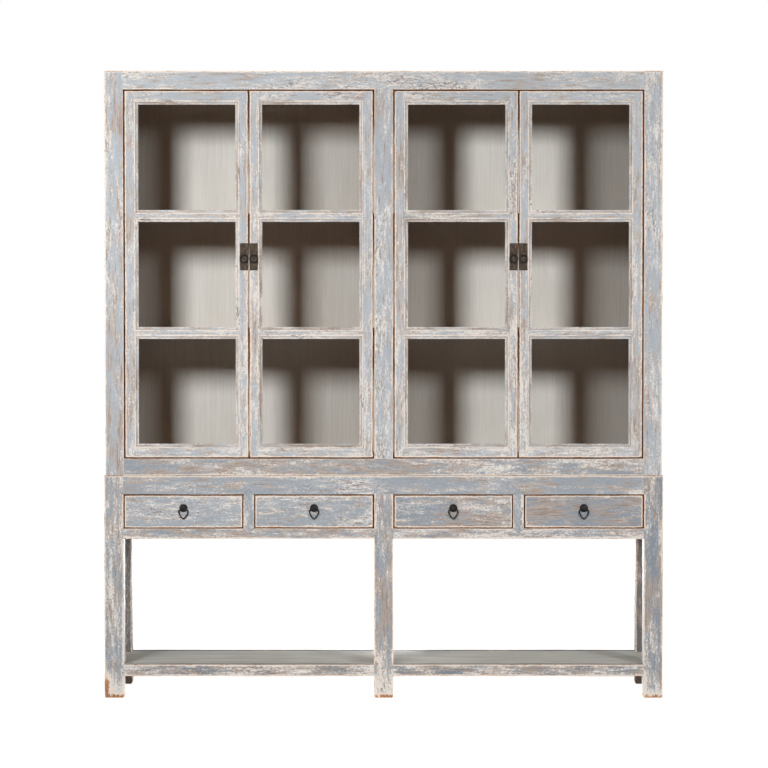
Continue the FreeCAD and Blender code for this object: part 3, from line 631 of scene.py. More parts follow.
def patterns(tree, place, noises, sums, **known):
    """The patterns of a finish by name: noises drawn out along the grain, and then weighted sums of them.

    A noise has its size along and across the grain in millimetres, its detail and its roughness.
    A sum starts from a value and adds each named pattern times its weight.
    """
    made = dict(known)
    for name, along, across, detail, rough in noises:
        scale = (1000 / along, 1000 / across, 1000 / across)
        drawn_out = lay(tree, "Mapping", {"Vector": place, "Scale": scale})
        made[name] = lay(tree, "TexNoise", {
            "Vector": drawn_out, "Scale": 1.0, "Detail": detail, "Roughness": rough,
        })
    for name, total, terms in sums:
        for pattern, weight in terms.items():
            total = lay(tree, "Math", {0: made[pattern], 1: weight, 2: total}, **SCALED_SUM)
        made[name] = total
    return made


def coats(tree, made, first, stack):
    """Colours in layers: each covers or stains the last as its pattern crosses a range, up to a share."""
    colour = first
    for pattern, low, high, most, over, *blend in stack:
        share = lay(tree, "MapRange", {0: made[pattern], 1: low, 2: high, 4: most}, **SMOOTH)
        way = blend[0] if blend else "MIX"
        colour = lay(tree, "Mix", {0: share, 6: colour, 7: over}, blend_type=way, **COLOURS)
    return colour


def shaded(colour, factor):
    """A colour with its light scaled."""
    return (*(c * factor for c in colour[:3]), 1.0)


# Sizes in millimetres along and across the grain. The brushed lines are really about a millimetre wide, and
# are drawn three times as wide so that they show.
PAINT_NOISES = (
    ("drift", 300, 90, 2.0, 0.5),
    ("patch", 60, 11, 4.0, 0.62),
    ("chip", 8, 4.2, 4.0, 0.68),
    ("grit", 6, 3.6, 2.0, 0.6),
    ("line", 60, 3.2, 3.0, 0.6),
    ("tone", 120, 30, 3.0, 0.55),
    ("thin", 60, 8, 4.0, 0.6),
    ("soil", 16, 5, 3.0, 0.6),
)


def rubbed_paint(name):
    """Thin grey paint over a chalky ground on brown wood, rubbed through along the grain.

    To the eye it is a dull blue-grey, pale on the cabinet, slate on the stand and a dark soiled grey at the
    back, which there also stands in for painted shade. It thins to warm beige, lies under a veil of chalk and
    is broken by patches of it. Brown scratches and specks go through it, every rubbed arris has a cream rim,
    bare faces are streaked tan wood, and where the edge value is below 0 it is dark brown, as grime in the
    mitre lines, as darkening on inner faces and in quirks, and as painted shade at the feet of the back legs.
    """
    colours = bpy.context.scene.cabinet_colours
    material, tree, shader = new_finish(name)
    place = lay(tree, "Attribute", attribute_name="grain", out=1)
    edge = lay(tree, "Attribute", attribute_name="edge", out=2)
    look = lay(tree, "Attribute", attribute_name="look", out=1)
    age = lay(tree, "SeparateXYZ", {0: look}, 0)
    slate = lay(tree, "SeparateXYZ", {0: look}, 1)
    worn = lay(tree, "SeparateXYZ", {0: look}, 2)
    made = patterns(tree, place, PAINT_NOISES, (
        ("depth", -2.435, {
            "drift": 0.9, "tone": 0.5, "patch": 1.1, "chip": 0.9, "line": 0.7, "grit": 0.6,
            "age": 1.0, "edge": 0.3,
        }),
        ("rub", -0.8, {"edge": 1.0, "chip": 0.8, "patch": 0.8}),
        ("thinned", -1.18, {"thin": 1.0, "drift": -0.3, "line": 0.6, "tone": 1.0, "worn": 1.0}),
        ("scratch", -0.9, {"thinned": 1.0, "line": 1.2, "chip": 0.6}),
        ("speck", -1.64, {"soil": 1.0, "grit": 0.6, "drift": 1.2}),
        ("shade", -0.3, {"slate": 1.0, "tone": 0.3, "line": 0.3}),
        ("stain", 0.0, {"soil": 0.4, "line": 0.6}),
        ("grime_and_shade", 0.0, {"edge": -1.0}),
    ), edge=edge, age=age, slate=slate, worn=worn)
    chalk = coats(tree, made, tuple(colours.ground_light), (
        ("stain", 0.42, 0.62, 1.0, tuple(colours.ground_dark)),
    ))
    bare = coats(tree, made, tuple(colours.wood_tan), (
        ("line", 0.38, 0.62, 1.0, shaded(colours.wood_tan, 0.6)),
    ))
    coat = coats(tree, made, tuple(colours.paint_light), (
        ("shade", 0.0, 1.2, 1.0, tuple(colours.paint_dark)),
        # Past 1.2 the paint goes to a dark soiled grey, which on the parts at the back is also painted shade
        ("shade", 1.2, 2.0, 1.0, tuple(colours.paint_soiled_and_shade)),
        ("chip", 0.55, 0.7, 0.3, tuple(colours.ground_light)),
        ("thinned", -0.06, 0.2, 0.7, tuple(colours.paint_thin)),
        ("depth", -0.25, 0.3, 0.6, chalk),
        ("line", 0.54, 0.68, 0.3, tuple(colours.paint_thin), "MULTIPLY"),
        ("scratch", 0.16, 0.34, 0.48, tuple(colours.wood_brown)),
        ("depth", 0.06, 0.18, 0.9, chalk),
        ("speck", -0.02, 0.08, 0.7, tuple(colours.wood_brown)),
        ("rub", 0.42, 0.7, 0.95, tuple(colours.rim)),
        ("rub", 0.88, 1.04, 1.0, bare),
        # Dark brown where the edge value is below 0: grime in mitre lines, darker inner faces and quirks, and
        # painted shade at the back legs' feet
        ("grime_and_shade", 0.1, 0.8, 0.8, shaded(colours.wood_brown, 0.45)),
    ))
    made = patterns(tree, place, (), (("height", 1.0, {"depth": -0.6, "soil": 0.3, "line": 0.6}),), **made)
    bump = lay(tree, "Bump", {"Strength": 0.4, "Distance": 0.0006, "Height": made["height"]})
    gloss = lay(tree, "MapRange", {0: made["depth"], 1: -0.03, 2: 0.07, 3: 0.62, 4: 0.8}, **SMOOTH)
    tree.links.new(coat, shader.inputs["Base Color"])
    tree.links.new(gloss, shader.inputs["Roughness"])
    tree.links.new(bump, shader.inputs["Normal"])
    shader.inputs["Specular IOR Level"].default_value = 0.3
    return material


# Boards with fine grain under a thin wash, brushed shelf paint, and plain sawn wood, in millimetres
WASH_GRAIN = (("streak", 260, 5, 3.0, 0.6), ("fine", 60, 1.8, 2.0, 0.6), ("cloud", 300, 120, 2.0, 0.5))
SHELF_GRAIN = (("streak", 300, 9, 3.0, 0.6), ("cloud", 260, 90, 2.0, 0.5))
PLAIN_GRAIN = (("streak", 180, 5, 4.0, 0.6), ("fine", 40, 1.6, 2.0, 0.6))


def streaked(name, light, dark, noises, rough=0.75, turn=None):
    """Wood or thin paint whose only pattern is its grain: streaks drawn out along it.

    A piece gives its own grain. On a frame node the grain runs along X, turned by an angle about Z.
    """
    material, tree, shader = new_finish(name)
    if turn is None:
        place = lay(tree, "Attribute", attribute_name="grain", out=1)
    else:
        place = lay(tree, "Mapping", {"Vector": lay(tree, "TexCoord", out=3), "Rotation": (0, 0, turn)})
    share = 1 / len(noises)
    made = patterns(tree, place, noises, (("grain", 0.0, {row[0]: share for row in noises}),))
    colour = coats(tree, made, tuple(dark), (("grain", 0.42, 0.58, 1.0, tuple(light)),))
    bump = lay(tree, "Bump", {"Strength": 0.25, "Distance": 0.0005, "Height": made["grain"]})
    tree.links.new(colour, shader.inputs["Base Color"])
    tree.links.new(bump, shader.inputs["Normal"])
    shader.inputs["Roughness"].default_value = rough
    shader.inputs["Specular IOR Level"].default_value = 0.3
    return material


def forged(name, light, dark, metallic, rough):
    """Dark metal with a hand-rubbed patina: blotches of lighter rubbed metal in the dark skin."""
    material, tree, shader = new_finish(name)
    place = lay(tree, "TexCoord", out=3)
    made = patterns(tree, place, (("blotch", 7, 7, 3.0, 0.6), ("grit", 1.6, 1.6, 2.0, 0.6)), (
        ("skin", 0.0, {"blotch": 0.7, "grit": 0.3}),
    ))
    colour = coats(tree, made, tuple(dark), (("skin", 0.46, 0.62, 1.0, tuple(light)),))
    bump = lay(tree, "Bump", {"Strength": 0.4, "Distance": 0.0005, "Height": made["skin"]})
    gloss = lay(tree, "MapRange", {
        0: made["blotch"], 1: 0.35, 2: 0.65, 3: rough + 0.1, 4: rough - 0.1,
    }, **SMOOTH)
    tree.links.new(colour, shader.inputs["Base Color"])
    tree.links.new(gloss, shader.inputs["Roughness"])
    tree.links.new(bump, shader.inputs["Normal"])
    shader.inputs["Metallic"].default_value = metallic
    shader.inputs["Specular IOR Level"].default_value = 0.2
    return material


def clear_glass(name):
    """Old clear sheet glass: nearly all see-through, with a faint cool skin that catches the lamps."""
    material, _, shader = new_finish(name)
    shader.inputs["Base Color"].default_value = bpy.context.scene.cabinet_colours.glass
    shader.inputs["Roughness"].default_value = 0.03
    shader.inputs["Alpha"].default_value = 0.05
    return material


def finish(label):
    """The finish of that name, made when it is first asked for."""
    made = bpy.data.materials.get(label)
    if made:
        return made
    c = bpy.context.scene.cabinet_colours
    makers = {
        "rubbed_paint": lambda: rubbed_paint(label),
        "limewashed_boards": lambda: streaked(label, c.wash_light, c.wash_dark, WASH_GRAIN),
        "inner_elm": lambda: streaked(label, c.inner_light, c.inner_dark, PLAIN_GRAIN),
        "shelf_paint": lambda: streaked(label, c.shelf_light, c.shelf_dark, SHELF_GRAIN, rough=0.6),
        "plain_elm": lambda: streaked(label, c.plain_light, c.plain_dark, PLAIN_GRAIN, turn=math.pi / 2),
        "dark_brass_plate": lambda: forged(label, c.brass_light, c.brass_dark, 0.2, 0.6),
        "blackened_iron": lambda: forged(label, c.iron_light, c.iron_dark, 0.2, 0.5),
        "sheet_glass": lambda: clear_glass(label),
    }
    return makers[label]()


def dress(node, label):
    """Gives a frame node that keeps its own shape a finish."""
    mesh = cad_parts[node].data
    mesh.materials.clear()
    mesh.materials.append(finish(label))


# Places shared by several groups

def stand_places(sizes):
    """Planes of the stand, from the frame's boxes and the named widths."""
    half = span("stand_front_legs", "x")[1]
    front, back = span("stand_top_rails", "y")
    leg_depth = span("stand_front_legs", "y")[1] - front
    inner, mid_half = half - sizes.leg_width, sizes.leg_width / 2
    return {
        "half": half, "inner": inner, "mid_half": mid_half, "stile_x": (inner + mid_half) / 2,
        "front": front, "front_in": front + leg_depth, "back_in": back - leg_depth, "back": back,
        "top_z": span("stand_top_rails", "z"), "low_z": span("stand_lower_rails", "z"),
        "shelf_z": span("bottom_shelf_rails", "z"),
    }


def cabinet_places(sizes):
    """Planes of the upper cabinet, from the frame's boxes and the named widths."""
    half = span("cabinet_front_posts", "x")[1]
    bottom, top = span("cabinet_front_posts", "z")
    sill_top, head_bottom = span("cabinet_partition", "z")
    front, front_in = span("cabinet_front_posts", "y")
    back_in, back = span("cabinet_back_posts", "y")
    return {
        "half": half, "inner": half - sizes.post_width, "mid_half": sizes.post_width / 2,
        "front": front, "front_in": front_in, "back_in": back_in, "back": back,
        "sill": (bottom, sill_top), "head": (head_bottom, top),
    }


def door_places(sizes):
    """The y of the doors' two faces, and for each door its outer and inner x, its z and its panes' z."""
    p = cabinet_places(sizes)
    gap = sizes.door_gap
    width = (p["inner"] - p["mid_half"] - 3 * gap) / 2
    z = (p["sill"][1] + gap, p["head"][0] - gap)
    pane = (z[1] - z[0] - 2 * sizes.door_rail - 2 * sizes.door_bar) / 3
    starts = [z[0] + sizes.door_rail + k * (pane + sizes.door_bar) for k in range(3)]
    doors = []
    for hinge, way in (
        (-p["inner"] + gap, 1), (-p["mid_half"] - gap, -1), (p["mid_half"] + gap, 1), (p["inner"] - gap, -1),
    ):
        lock = hinge + way * width
        doors.append({
            "outer": sorted((hinge, lock)), "z": z,
            "inner": sorted((hinge + way * sizes.hinge_stile, lock - way * sizes.lock_stile)),
            "panes": [(start, start + pane) for start in starts],
        })
    return (p["front"], p["front"] + sizes.door_thickness), doors


def rebated_board(node, sizes, **ways):
    """A board along X in the rebates of its rails: its box, drawn in until it laps them by a shoulder."""
    x, y, z = ranges(node)
    lap = np.array([1, -1]) * (sizes.board_lap - SHOULDER)
    return timber(x + lap, y + lap, z, "x", BOARD_ARRIS, (), **ways)


def stand_legs(sizes, front):
    """The three front or back legs of the stand.

    A front leg is bare beside the drawers, darker on its inner faces and chalky at its foot, and the left
    one is rubbed bare up its outer side. The back legs are a dark soiled grey that also stands in for their
    shade, with painted shade at the foot.
    """
    p = stand_places(sizes)
    low, shelf, top = p["low_z"], p["shelf_z"], p["top_z"]
    y = (p["front"], p["front_in"]) if front else (p["back_in"], p["back"])
    far = "+y" if front else "-y"
    # A back leg's foot gets painted shade, darker towards the floor, instead of wear
    foot = sizes.foot_wear if front else -sizes.foot_wear
    legs = []
    for out in (-1, 0, 1):
        x = out * (p["half"] - p["mid_half"])
        sides = INNER_FACES[out]
        heights = (low, shelf, top) if out else (low, shelf)
        joined = [(face, *z) for face in sides for z in heights]
        joined += [(far, *z) for z in (heights if out else (shelf,))]
        legs.append(timber(
            (x - p["mid_half"], x + p["mid_half"]), y, (0, top[1] if out else top[0] + SHOULDER),
            "z", sizes.arris, ("-y", "+y", "-x", "+x"), joined,
            {face: (low[1], top[0]) for face in sides} if front else {},
            foot=foot, lean=min(out, 0), darkened=sides if front else (),
            ends=(sizes.foot_round, sizes.arris if out else 0.0),
            look=LEG_LOOKS[out] if front else HIDDEN_LOOK,
        ))
    return legs


class CABINET_OT_stand_frame(Operator):
    """Legs, rails and drawer stiles of the stand"""

    bl_idname = "cabinet.stand_frame"
    bl_label = "Stand frame"

    def execute(self, context):
        sizes = context.scene.cabinet_sizes
        p = stand_places(sizes)
        for label in ("front", "back"):
            legs = stand_legs(sizes, label == "front")
            piece(label + "_legs", legs, ["rubbed_paint"], "stand_%s_legs" % label,
                  "carcass")

        r, sh, top, low, front = sizes.arris, SHOULDER, p["top_z"], p["low_z"], p["front"]
        rail, stile = sizes.rail_thickness, sizes.stile_width / 2
        meets = [(x - stile, x + stile) for x in (-p["stile_x"], p["stile_x"])]
        middle = (-p["mid_half"], p["mid_half"])
        front_y = (front, front + rail)
        top_rails, low_rails, side_rails, stiles = [], [], [], []
        for y, over, gaps, under in (
            (front_y, meets, {"+z": WHOLE}, WHOLE),
            ((p["back"] - rail, p["back"]), (), {}, middle),
        ):
            x = (-p["inner"] - sh, p["inner"] + sh)
            top_rails.append(timber(x, y, top, "x", r, ("+z",), [("-z", *under)], look=RAIL_LOOK))
            for side in (-1, 1):
                x = (side * (p["mid_half"] - sh), side * (p["inner"] + sh))
                joined = [("+z", *run) for run in over if run[0] * side > 0]
                low_rails.append(timber(x, y, low, "x", r, ("-z",), joined, gaps, look=LOW_RAIL_LOOK))
        for side in (-1, 1):
            x = (side * p["half"], side * (p["half"] - rail))
            y = (p["front_in"] - sh, p["back_in"] + sh)
            for z in (top, low):
                faces = (*OUTER_FACES[side], "-z", "+z")
                side_rails.append(timber(x, y, z, "y", r, faces, look=RAIL_LOOK))
            centre = side * p["stile_x"]
            x = (centre - stile, centre + stile)
            z = (low[1] - sh, top[0] + sh)
            stiles.append(timber(x, front_y, z, "z", r, (), bare={"-x": WHOLE, "+x": WHOLE}, look=RAIL_LOOK))
            for z, way in ((top[0], 1), (low[1], -1)):
                tip = (centre, z + way * stile)
                stiles.append(mitred_tip((x[0], z), (x[1], z), tip, front, sh, look=RAIL_LOOK))
            z = (top[0], top[0] + stile)
            for x, way in ((side * p["inner"], side), (side * p["mid_half"], -side)):
                tip = (x + way * stile, z[1])
                top_rails.append(mitred_tip((x, z[0]), (x, z[1]), tip, front, sh, (1, 0), RAIL_LOOK))
        for name, blocks, node in (
            ("stand_top_rail_pair", top_rails, "stand_top_rails"),
            ("stand_lower_rail_set", low_rails, "stand_lower_rails"),
            ("stand_side_rail_set", side_rails, "stand_side_rails"),
            ("drawer_stile_pair", stiles, "drawer_stiles"),
        ):
            piece(name, blocks, ["rubbed_paint"], node, "carcass")
        return {"FINISHED"}


class CABINET_OT_stand_boards(Operator):
    """Panels and boards of the stand, and the bottom shelf"""

    bl_idname = "cabinet.stand_boards"
    bl_label = "Stand boards and shelf"

    def execute(self, context):
        sizes = context.scene.cabinet_sizes
        p = stand_places(sizes)
        r, sh, lap, thick = sizes.arris, SHOULDER, sizes.board_lap, sizes.panel_thickness
        panel_x, panel_y, panel_z = ranges("stand_panels")
        panels = []
        for side in (-1, 1):
            outer = panel_x[1] * side
            x = (outer, outer - side * thick)
            y = (p["front_in"] - lap, p["back_in"] + lap)
            panels.append(timber(x, y, panel_z, "y", PANEL_ARRIS, (), look=RAIL_LOOK))
            x = (side * (p["mid_half"] - lap), side * (p["inner"] + lap))
            y = (panel_y[1] - thick, panel_y[1])
            panels.append(timber(x, y, panel_z, "x", PANEL_ARRIS, (), look=BACK_LOOK))
        piece("stand_panel_set", panels, ["rubbed_paint"], "stand_panels", "carcass")
        top_board = rebated_board("stand_top_board", sizes, look=RAIL_LOOK)
        piece("stand_top_plank", [top_board], ["rubbed_paint"], "stand_top_board", "carcass")

        shelf, rail, front, back = p["shelf_z"], sizes.shelf_rail, p["front"], p["back"]
        board_z = (span("bottom_shelf_boards", "z")[0], shelf[1])
        deep = (p["front_in"] - sh, p["back_in"] + sh)
        rails, boards = [], []
        for side in (-1, 1):
            x = (side * (p["mid_half"] - sh), side * (p["inner"] + sh))
            y = (front, front + rail)
            rails.append(timber(x, y, shelf, "x", r, ("-y", "+z", "-z"), bare={"-z": WHOLE}, look=SHELF_LOOK))
            y = (back - rail, back)
            rails.append(timber(x, y, shelf, "x", r, ("+y", "-z"), look=HIDDEN_LOOK))
            outer = side * p["half"]
            x = (outer, outer - side * rail)
            rails.append(timber(x, deep, shelf, "y", r, (*OUTER_FACES[side], "-z"), look=SHELF_LOOK))
            x = (side * (rail / 2 - sh), outer - side * (rail - sh))
            y = (front + rail - sh, back - rail + sh)
            boards.append(timber(x, y, board_z, "x", PANEL_ARRIS, ()))
        rails.append(timber((-rail / 2, rail / 2), deep, shelf, "y", r, ("-z",), look=HIDDEN_LOOK))
        piece("shelf_rail_set", rails, ["rubbed_paint", "shelf_paint"], "bottom_shelf_rails",
              "carcass")
        piece("shelf_plank_pair", boards, ["shelf_paint"], "bottom_shelf_boards", "carcass")
        return {"FINISHED"}


def cabinet_posts(sizes, front):
    """The three front or back posts of the upper cabinet, the middle one between sill and head."""
    p = cabinet_places(sizes)
    sill, head = p["sill"], p["head"]
    y = (p["front"], p["front_in"]) if front else (p["back_in"], p["back"])
    within = "+y" if front else "-y"
    posts = []
    for out in (-1, 0, 1):
        x = out * (p["half"] - p["mid_half"])
        joined = [(face, *z) for face in (*INNER_FACES[out], within) for z in (sill, head)]
        gaps = {face: (sill[1], head[0]) for face in INNER_FACES[out]}
        posts.append(timber(
            (x - p["mid_half"], x + p["mid_half"]), y,
            (sill[0], head[1]) if out else (sill[1] - SHOULDER, head[0] + SHOULDER),
            "z", sizes.arris, OUTER_FACES[out], joined if out else (), gaps if front else {},
            ends=(0.0, sizes.arris if out else 0.0), inside=(within,),
            look=POST_LOOKS[out] if front else BACK_LOOK,
        ))
    return posts


class CABINET_OT_cabinet_frame(Operator):
    """Posts and rails of the upper cabinet"""

    bl_idname = "cabinet.cabinet_frame"
    bl_label = "Cabinet frame"

    def execute(self, context):
        sizes = context.scene.cabinet_sizes
        p = cabinet_places(sizes)
        r, sh, thick = sizes.arris, SHOULDER, sizes.cross_rail
        sill, head = p["sill"], p["head"]
        finishes = ["rubbed_paint", "inner_elm"]
        for label in ("front", "back"):
            posts = cabinet_posts(sizes, label == "front")
            piece("cabinet_%s_post_set" % label, posts, finishes, "cabinet_%s_posts" % label,
                  "carcass")
        rails, cross = [], []
        x = (-p["inner"] - sh, p["inner"] + sh)
        middle = (-p["mid_half"], p["mid_half"])
        for y, inner in (((p["front"], p["front_in"]), "+y"), ((p["back_in"], p["back"]), "-y")):
            for z, toward, away, look in ((head, "-z", "+z", HEAD_LOOK), (sill, "+z", "-z", SILL_LOOK)):
                gaps = {toward: WHOLE} if inner == "+y" else {}
                joined = [(toward, *middle)]
                rails.append(timber(x, y, z, "x", r, (away,), joined, gaps, inside=(inner,), look=look))
        piece("cabinet_long_rail_set", rails, finishes, "cabinet_long_rails", "carcass")
        for side in (-1, 1):
            x = (side * p["half"], side * p["half"] - side * thick)
            y = (p["front_in"] - sh, p["back_in"] + sh)
            for z in (sill, head):
                cross.append(timber(x, y, z, "y", r, OUTER_FACES[side], inside=INNER_FACES[side],
                                    look=HEAD_LOOK))
        x, y = (-thick / 2, thick / 2), (p["front_in"], p["back_in"])
        for low, board in ((sill[0], "cabinet_floor_board"), (head[0], "cabinet_top_board")):
            cross.append(timber(x, y, (low, span(board, "z")[0]), "y", r, (), inside=("-x", "+x", "-z")))
        piece("cabinet_cross_rail_set", cross, finishes, "cabinet_cross_rails", "carcass")
        return {"FINISHED"}


class CABINET_OT_cabinet_boards(Operator):
    """Panels, partition, boards and inner shelves of the upper cabinet"""

    bl_idname = "cabinet.cabinet_boards"
    bl_label = "Cabinet boards"

    def execute(self, context):
        sizes = context.scene.cabinet_sizes
        inmost = cabinet_places(sizes)["mid_half"] - sizes.board_lap
        thick, shelf = sizes.panel_thickness, sizes.shelf_thickness
        side_x, side_y, side_z = ranges("cabinet_side_panels")
        back_x, back_y, back_z = ranges("cabinet_back_panels")
        shelf_y, shelf_z = span("inner_shelves", "y"), span("inner_shelves", "z")
        wall = span("cabinet_partition", "x")[1]
        sides, backs, shelves = [], [], []
        for side in (-1, 1):
            x = (side * side_x[1], side * side_x[1] - side * thick)
            sides.append(timber(x, side_y, side_z, "z", PANEL_ARRIS, (), inside=INNER_FACES[side],
                                look=HEAD_LOOK))
            x = (side * inmost, side * back_x[1])
            backs.append(timber(x, back_y, back_z, "z", PANEL_ARRIS, (), inside=("-y",), look=BACK_LOOK))
            x = (side * wall, side * (side_x[1] - thick))
            for low in (shelf_z[0], shelf_z[1] - shelf):
                shelves.append(timber(x, shelf_y, (low, low + shelf), "x", SHELF_ARRIS, ()))
        partition = timber(*ranges("cabinet_partition"), "z", BOARD_ARRIS, ())
        top_board = rebated_board("cabinet_top_board", sizes, inside=("-z",), look=HEAD_LOOK)
        floor_board = rebated_board("cabinet_floor_board", sizes)
        lined = ["rubbed_paint", "inner_elm"]
        washed = ["rubbed_paint", "limewashed_boards"]
        for name, blocks, finishes, node, slot in (
            ("side_panel_pair", sides, lined, "cabinet_side_panels", "painted_wood"),
            ("back_panel_pair", backs, washed, "cabinet_back_panels", "washed_wood"),
            ("inner_shelf_set", shelves, ["inner_elm"], "inner_shelves", "washed_wood"),
            ("partition_board", [partition], ["inner_elm"], "cabinet_partition", "washed_wood"),
            ("cabinet_top_plank", [top_board], lined, "cabinet_top_board", "painted_wood"),
            ("cabinet_floor_plank", [floor_board], ["inner_elm"], "cabinet_floor_board", "washed_wood"),
        ):
            piece(name, blocks, finishes, node, "carcass")
        return {"FINISHED"}


def door_timbers(sizes, door, y, look):
    """Stiles, rails and glazing bars of one door. Its outer edges are bare, and roundest in front."""
    z, inner, outer = door["z"], door["inner"], door["outer"]
    edge, bar, front, rail = DOOR_EDGE_ARRIS, BAR_ARRIS, sizes.door_arris, sizes.door_rail
    lows, highs = zip(*door["panes"])
    solid = list(zip((z[0], *highs), (*lows, z[1])))
    blocks = []
    for x, away, toward, radii in (
        ((outer[0], inner[0]), "-x", "+x", (bar, edge, front, bar)),
        ((inner[1], outer[1]), "+x", "-x", (edge, bar, bar, front)),
    ):
        joined = [(toward, *run) for run in solid]
        blocks.append(timber(x, y, z, "z", radii, (away,), joined, {away: WHOLE}, ends=(edge, edge),
                             sway=FINE_SWAY, look=look))
    x = (inner[0] - SHOULDER, inner[1] + SHOULDER)
    for run, away in (
        ((z[0], z[0] + rail), ("-z",)), ((z[1] - rail, z[1]), ("+z",)), (solid[1], ()), (solid[2], ()),
    ):
        share = (run[0] - z[0]) / (z[1] - z[0])
        blocks.append(timber(x, y, run, "x", edge if away else bar, away, bare=dict.fromkeys(away, WHOLE),
                             sway=FINE_SWAY, look=look[0] + (look[1] - look[0]) * share))
    return blocks


def glazing_strips(sizes, door, y):
    """The moulding in front of each pane of one door, and the four square beads behind it."""
    x, bead = door["inner"], sizes.back_bead
    bead_y = (y[0] + sizes.moulding_depth + sizes.glass_thickness, y[1])
    strips = []
    for z in door["panes"]:
        strips.append(moulding(x, z, y[0], sizes, MOULDING_LOOK))
        for run in ((x[0], x[0] + bead), (x[1] - bead, x[1])):
            strips.append(timber(run, bead_y, z, "z", BOARD_ARRIS, ("+y",)))
        for run in ((z[0], z[0] + bead), (z[1] - bead, z[1])):
            strips.append(timber((x[0] + bead, x[1] - bead), bead_y, run, "x", BOARD_ARRIS, ("+y",)))
    return strips


class CABINET_OT_doors(Operator):
    """Frames and glazing of the four doors"""

    bl_idname = "cabinet.doors"
    bl_label = "Glazed doors"

    def execute(self, context):
        sizes = context.scene.cabinet_sizes
        y, doors = door_places(sizes)
        for number, door in enumerate(doors, 1):
            body = "door_%d" % number
            timbers = door_timbers(sizes, door, y, np.array([DOOR_FEET, DOOR_HEADS[number - 1]]))
            piece(body + "_timbers", timbers, ["rubbed_paint"], body + "_frame", body)
            strips = glazing_strips(sizes, door, y)
            piece(body + "_mouldings", strips, ["rubbed_paint"], body + "_glazing_strips",
                  body)
            dress(body + "_glass", "sheet_glass")
        return {"FINISHED"}


class CABINET_OT_door_pulls(Operator):
    """Plates with eyes and loose rings on the doors"""

    bl_idname = "cabinet.door_pulls"
    bl_label = "Door pulls"

    def execute(self, context):
        wire_r = context.scene.cabinet_sizes.ring_wire
        angle = np.linspace(0, 2 * np.pi, RING_POINTS, endpoint=False)
        circle = np.stack([np.sin(angle), 0 * angle, np.cos(angle)], -1)
        for number in range(1, 5):
            body = "door_%d" % number
            dress(body + "_pull_plate", "dark_brass_plate")
            low, high = np.array(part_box(body + "_ring"))
            path = (low + high) / 2 + ((high[0] - low[0]) / 2 - wire_r) * circle
            ring = wire(path, wire_r * (RING_MEAN - RING_THINNED * np.cos(angle)))
            piece(body + "_pull_ring", [ring], ["blackened_iron"], body + "_ring",
                  body + "_pull")
        return {"FINISHED"}


class CABINET_OT_drawers(Operator):
    """Fronts and boxes of the four drawers"""

    bl_idname = "cabinet.drawers"
    bl_label = "Drawers"

    def execute(self, context):
        for number in range(1, 5):
            body = "drawer_%d" % number
            board = timber(*ranges(body + "_front"), "x", DRAWER_ARRIS, bare={"+z": WHOLE, "-z": WHOLE},
                           ends=(DRAWER_ARRIS, DRAWER_ARRIS), sway=FINE_SWAY, look=DRAWER_LOOKS[number - 1])
            piece(body + "_face", [board], ["rubbed_paint"], body + "_front", body)
            dress(body + "_box", "plain_elm")
        return {"FINISHED"}


class CABINET_OT_drawer_pulls(Operator):
    """Domed knobs and pointed rings of the drawers"""

    bl_idname = "cabinet.drawer_pulls"
    bl_label = "Drawer pulls"

    def execute(self, context):
        sizes = context.scene.cabinet_sizes
        wire_r = sizes.ring_wire
        for number in range(1, 5):
            body = "drawer_%d" % number
            low, high = np.array(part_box(body + "_knob"))
            face = span(body + "_front", "y")[0]
            middle = (low + high) / 2
            dome = knob((middle[0], middle[2]), face, (high[2] - low[2]) / 2, face - low[1])
            piece(body + "_cast_knob", [dome], ["blackened_iron"], body + "_knob", body)
            low, high = np.array(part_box(body + "_ring"))
            path = pointed_ring((high[0] - low[0]) / 2 - wire_r, sizes.ring_drop, sizes.ring_corner)
            path += ((low[0] + high[0]) / 2, (low[1] + high[1]) / 2, high[2] - wire_r)
            ring = wire(path, wire_r * RING_STOUT)
            piece(body + "_pointed_ring", [ring], ["blackened_iron"], body + "_ring",
                  body + "_pull")
        return {"FINISHED"}


class CABINET_OT_hidden_wood(Operator):
    """Plain wood of the runners, battens, cleats and dowels"""

    bl_idname = "cabinet.hidden_wood"
    bl_label = "Plain inner wood"

    def execute(self, context):
        for node in ("top_board_battens", "drawer_runners", "shelf_cleats", "locating_dowels"):
            dress(node, "plain_elm")
        return {"FINISHED"}


def seen_directly(tree):
    """1 for rays from the camera, in reflections or through glass, and 0 for light that falls on things."""
    path = tree.nodes.new("ShaderNodeLightPath").outputs
    seen = lay(tree, "Math", {0: path["Is Camera Ray"], 1: path["Is Glossy Ray"]}, operation="MAXIMUM")
    return lay(tree, "Math", {0: seen, 1: path["Is Transmission Ray"]}, operation="MAXIMUM")


def pale_floor(colour):
    """Plain matt paint on the floor, which reads as white and keeps the object's shadow.

    What is seen directly also glows, a little less near the object than away from it. What falls on things
    is a soft pool of light from the floor in front of the object.
    """
    material, tree, shader = new_finish("pale_floor")
    shader.inputs["Base Color"].default_value = colour
    shader.inputs["Roughness"].default_value = 0.9
    shader.inputs["Specular IOR Level"].default_value = 0.0
    place = lay(tree, "TexCoord", out=3)
    away = lay(tree, "VectorMath", {0: place}, out=1, operation="LENGTH")
    level = lay(tree, "MapRange", {0: away, 1: 1.0, 2: 4.0, 3: 0.9, 4: 1.0}, **SMOOTH)
    glow = lay(tree, "Emission", {"Color": WHITE, "Strength": level})
    near = lay(tree, "Mapping", {"Vector": place, "Location": (0, 0.9, 0), "Scale": (0.5, 1, 1)})
    ahead = lay(tree, "VectorMath", {0: near}, out=1, operation="LENGTH")
    pool = lay(tree, "MapRange", {0: ahead, 1: 0.5, 2: 1.5, 3: 0.8, 4: 0.0}, **SMOOTH)
    bounce = lay(tree, "Emission", {"Color": WHITE, "Strength": pool})
    lit = lay(tree, "MixShader", {0: seen_directly(tree), 1: bounce, 2: glow})
    both = lay(tree, "AddShader", {0: shader.outputs[0], 1: lit})
    tree.links.new(both, tree.nodes["Material Output"].inputs["Surface"])
    return material


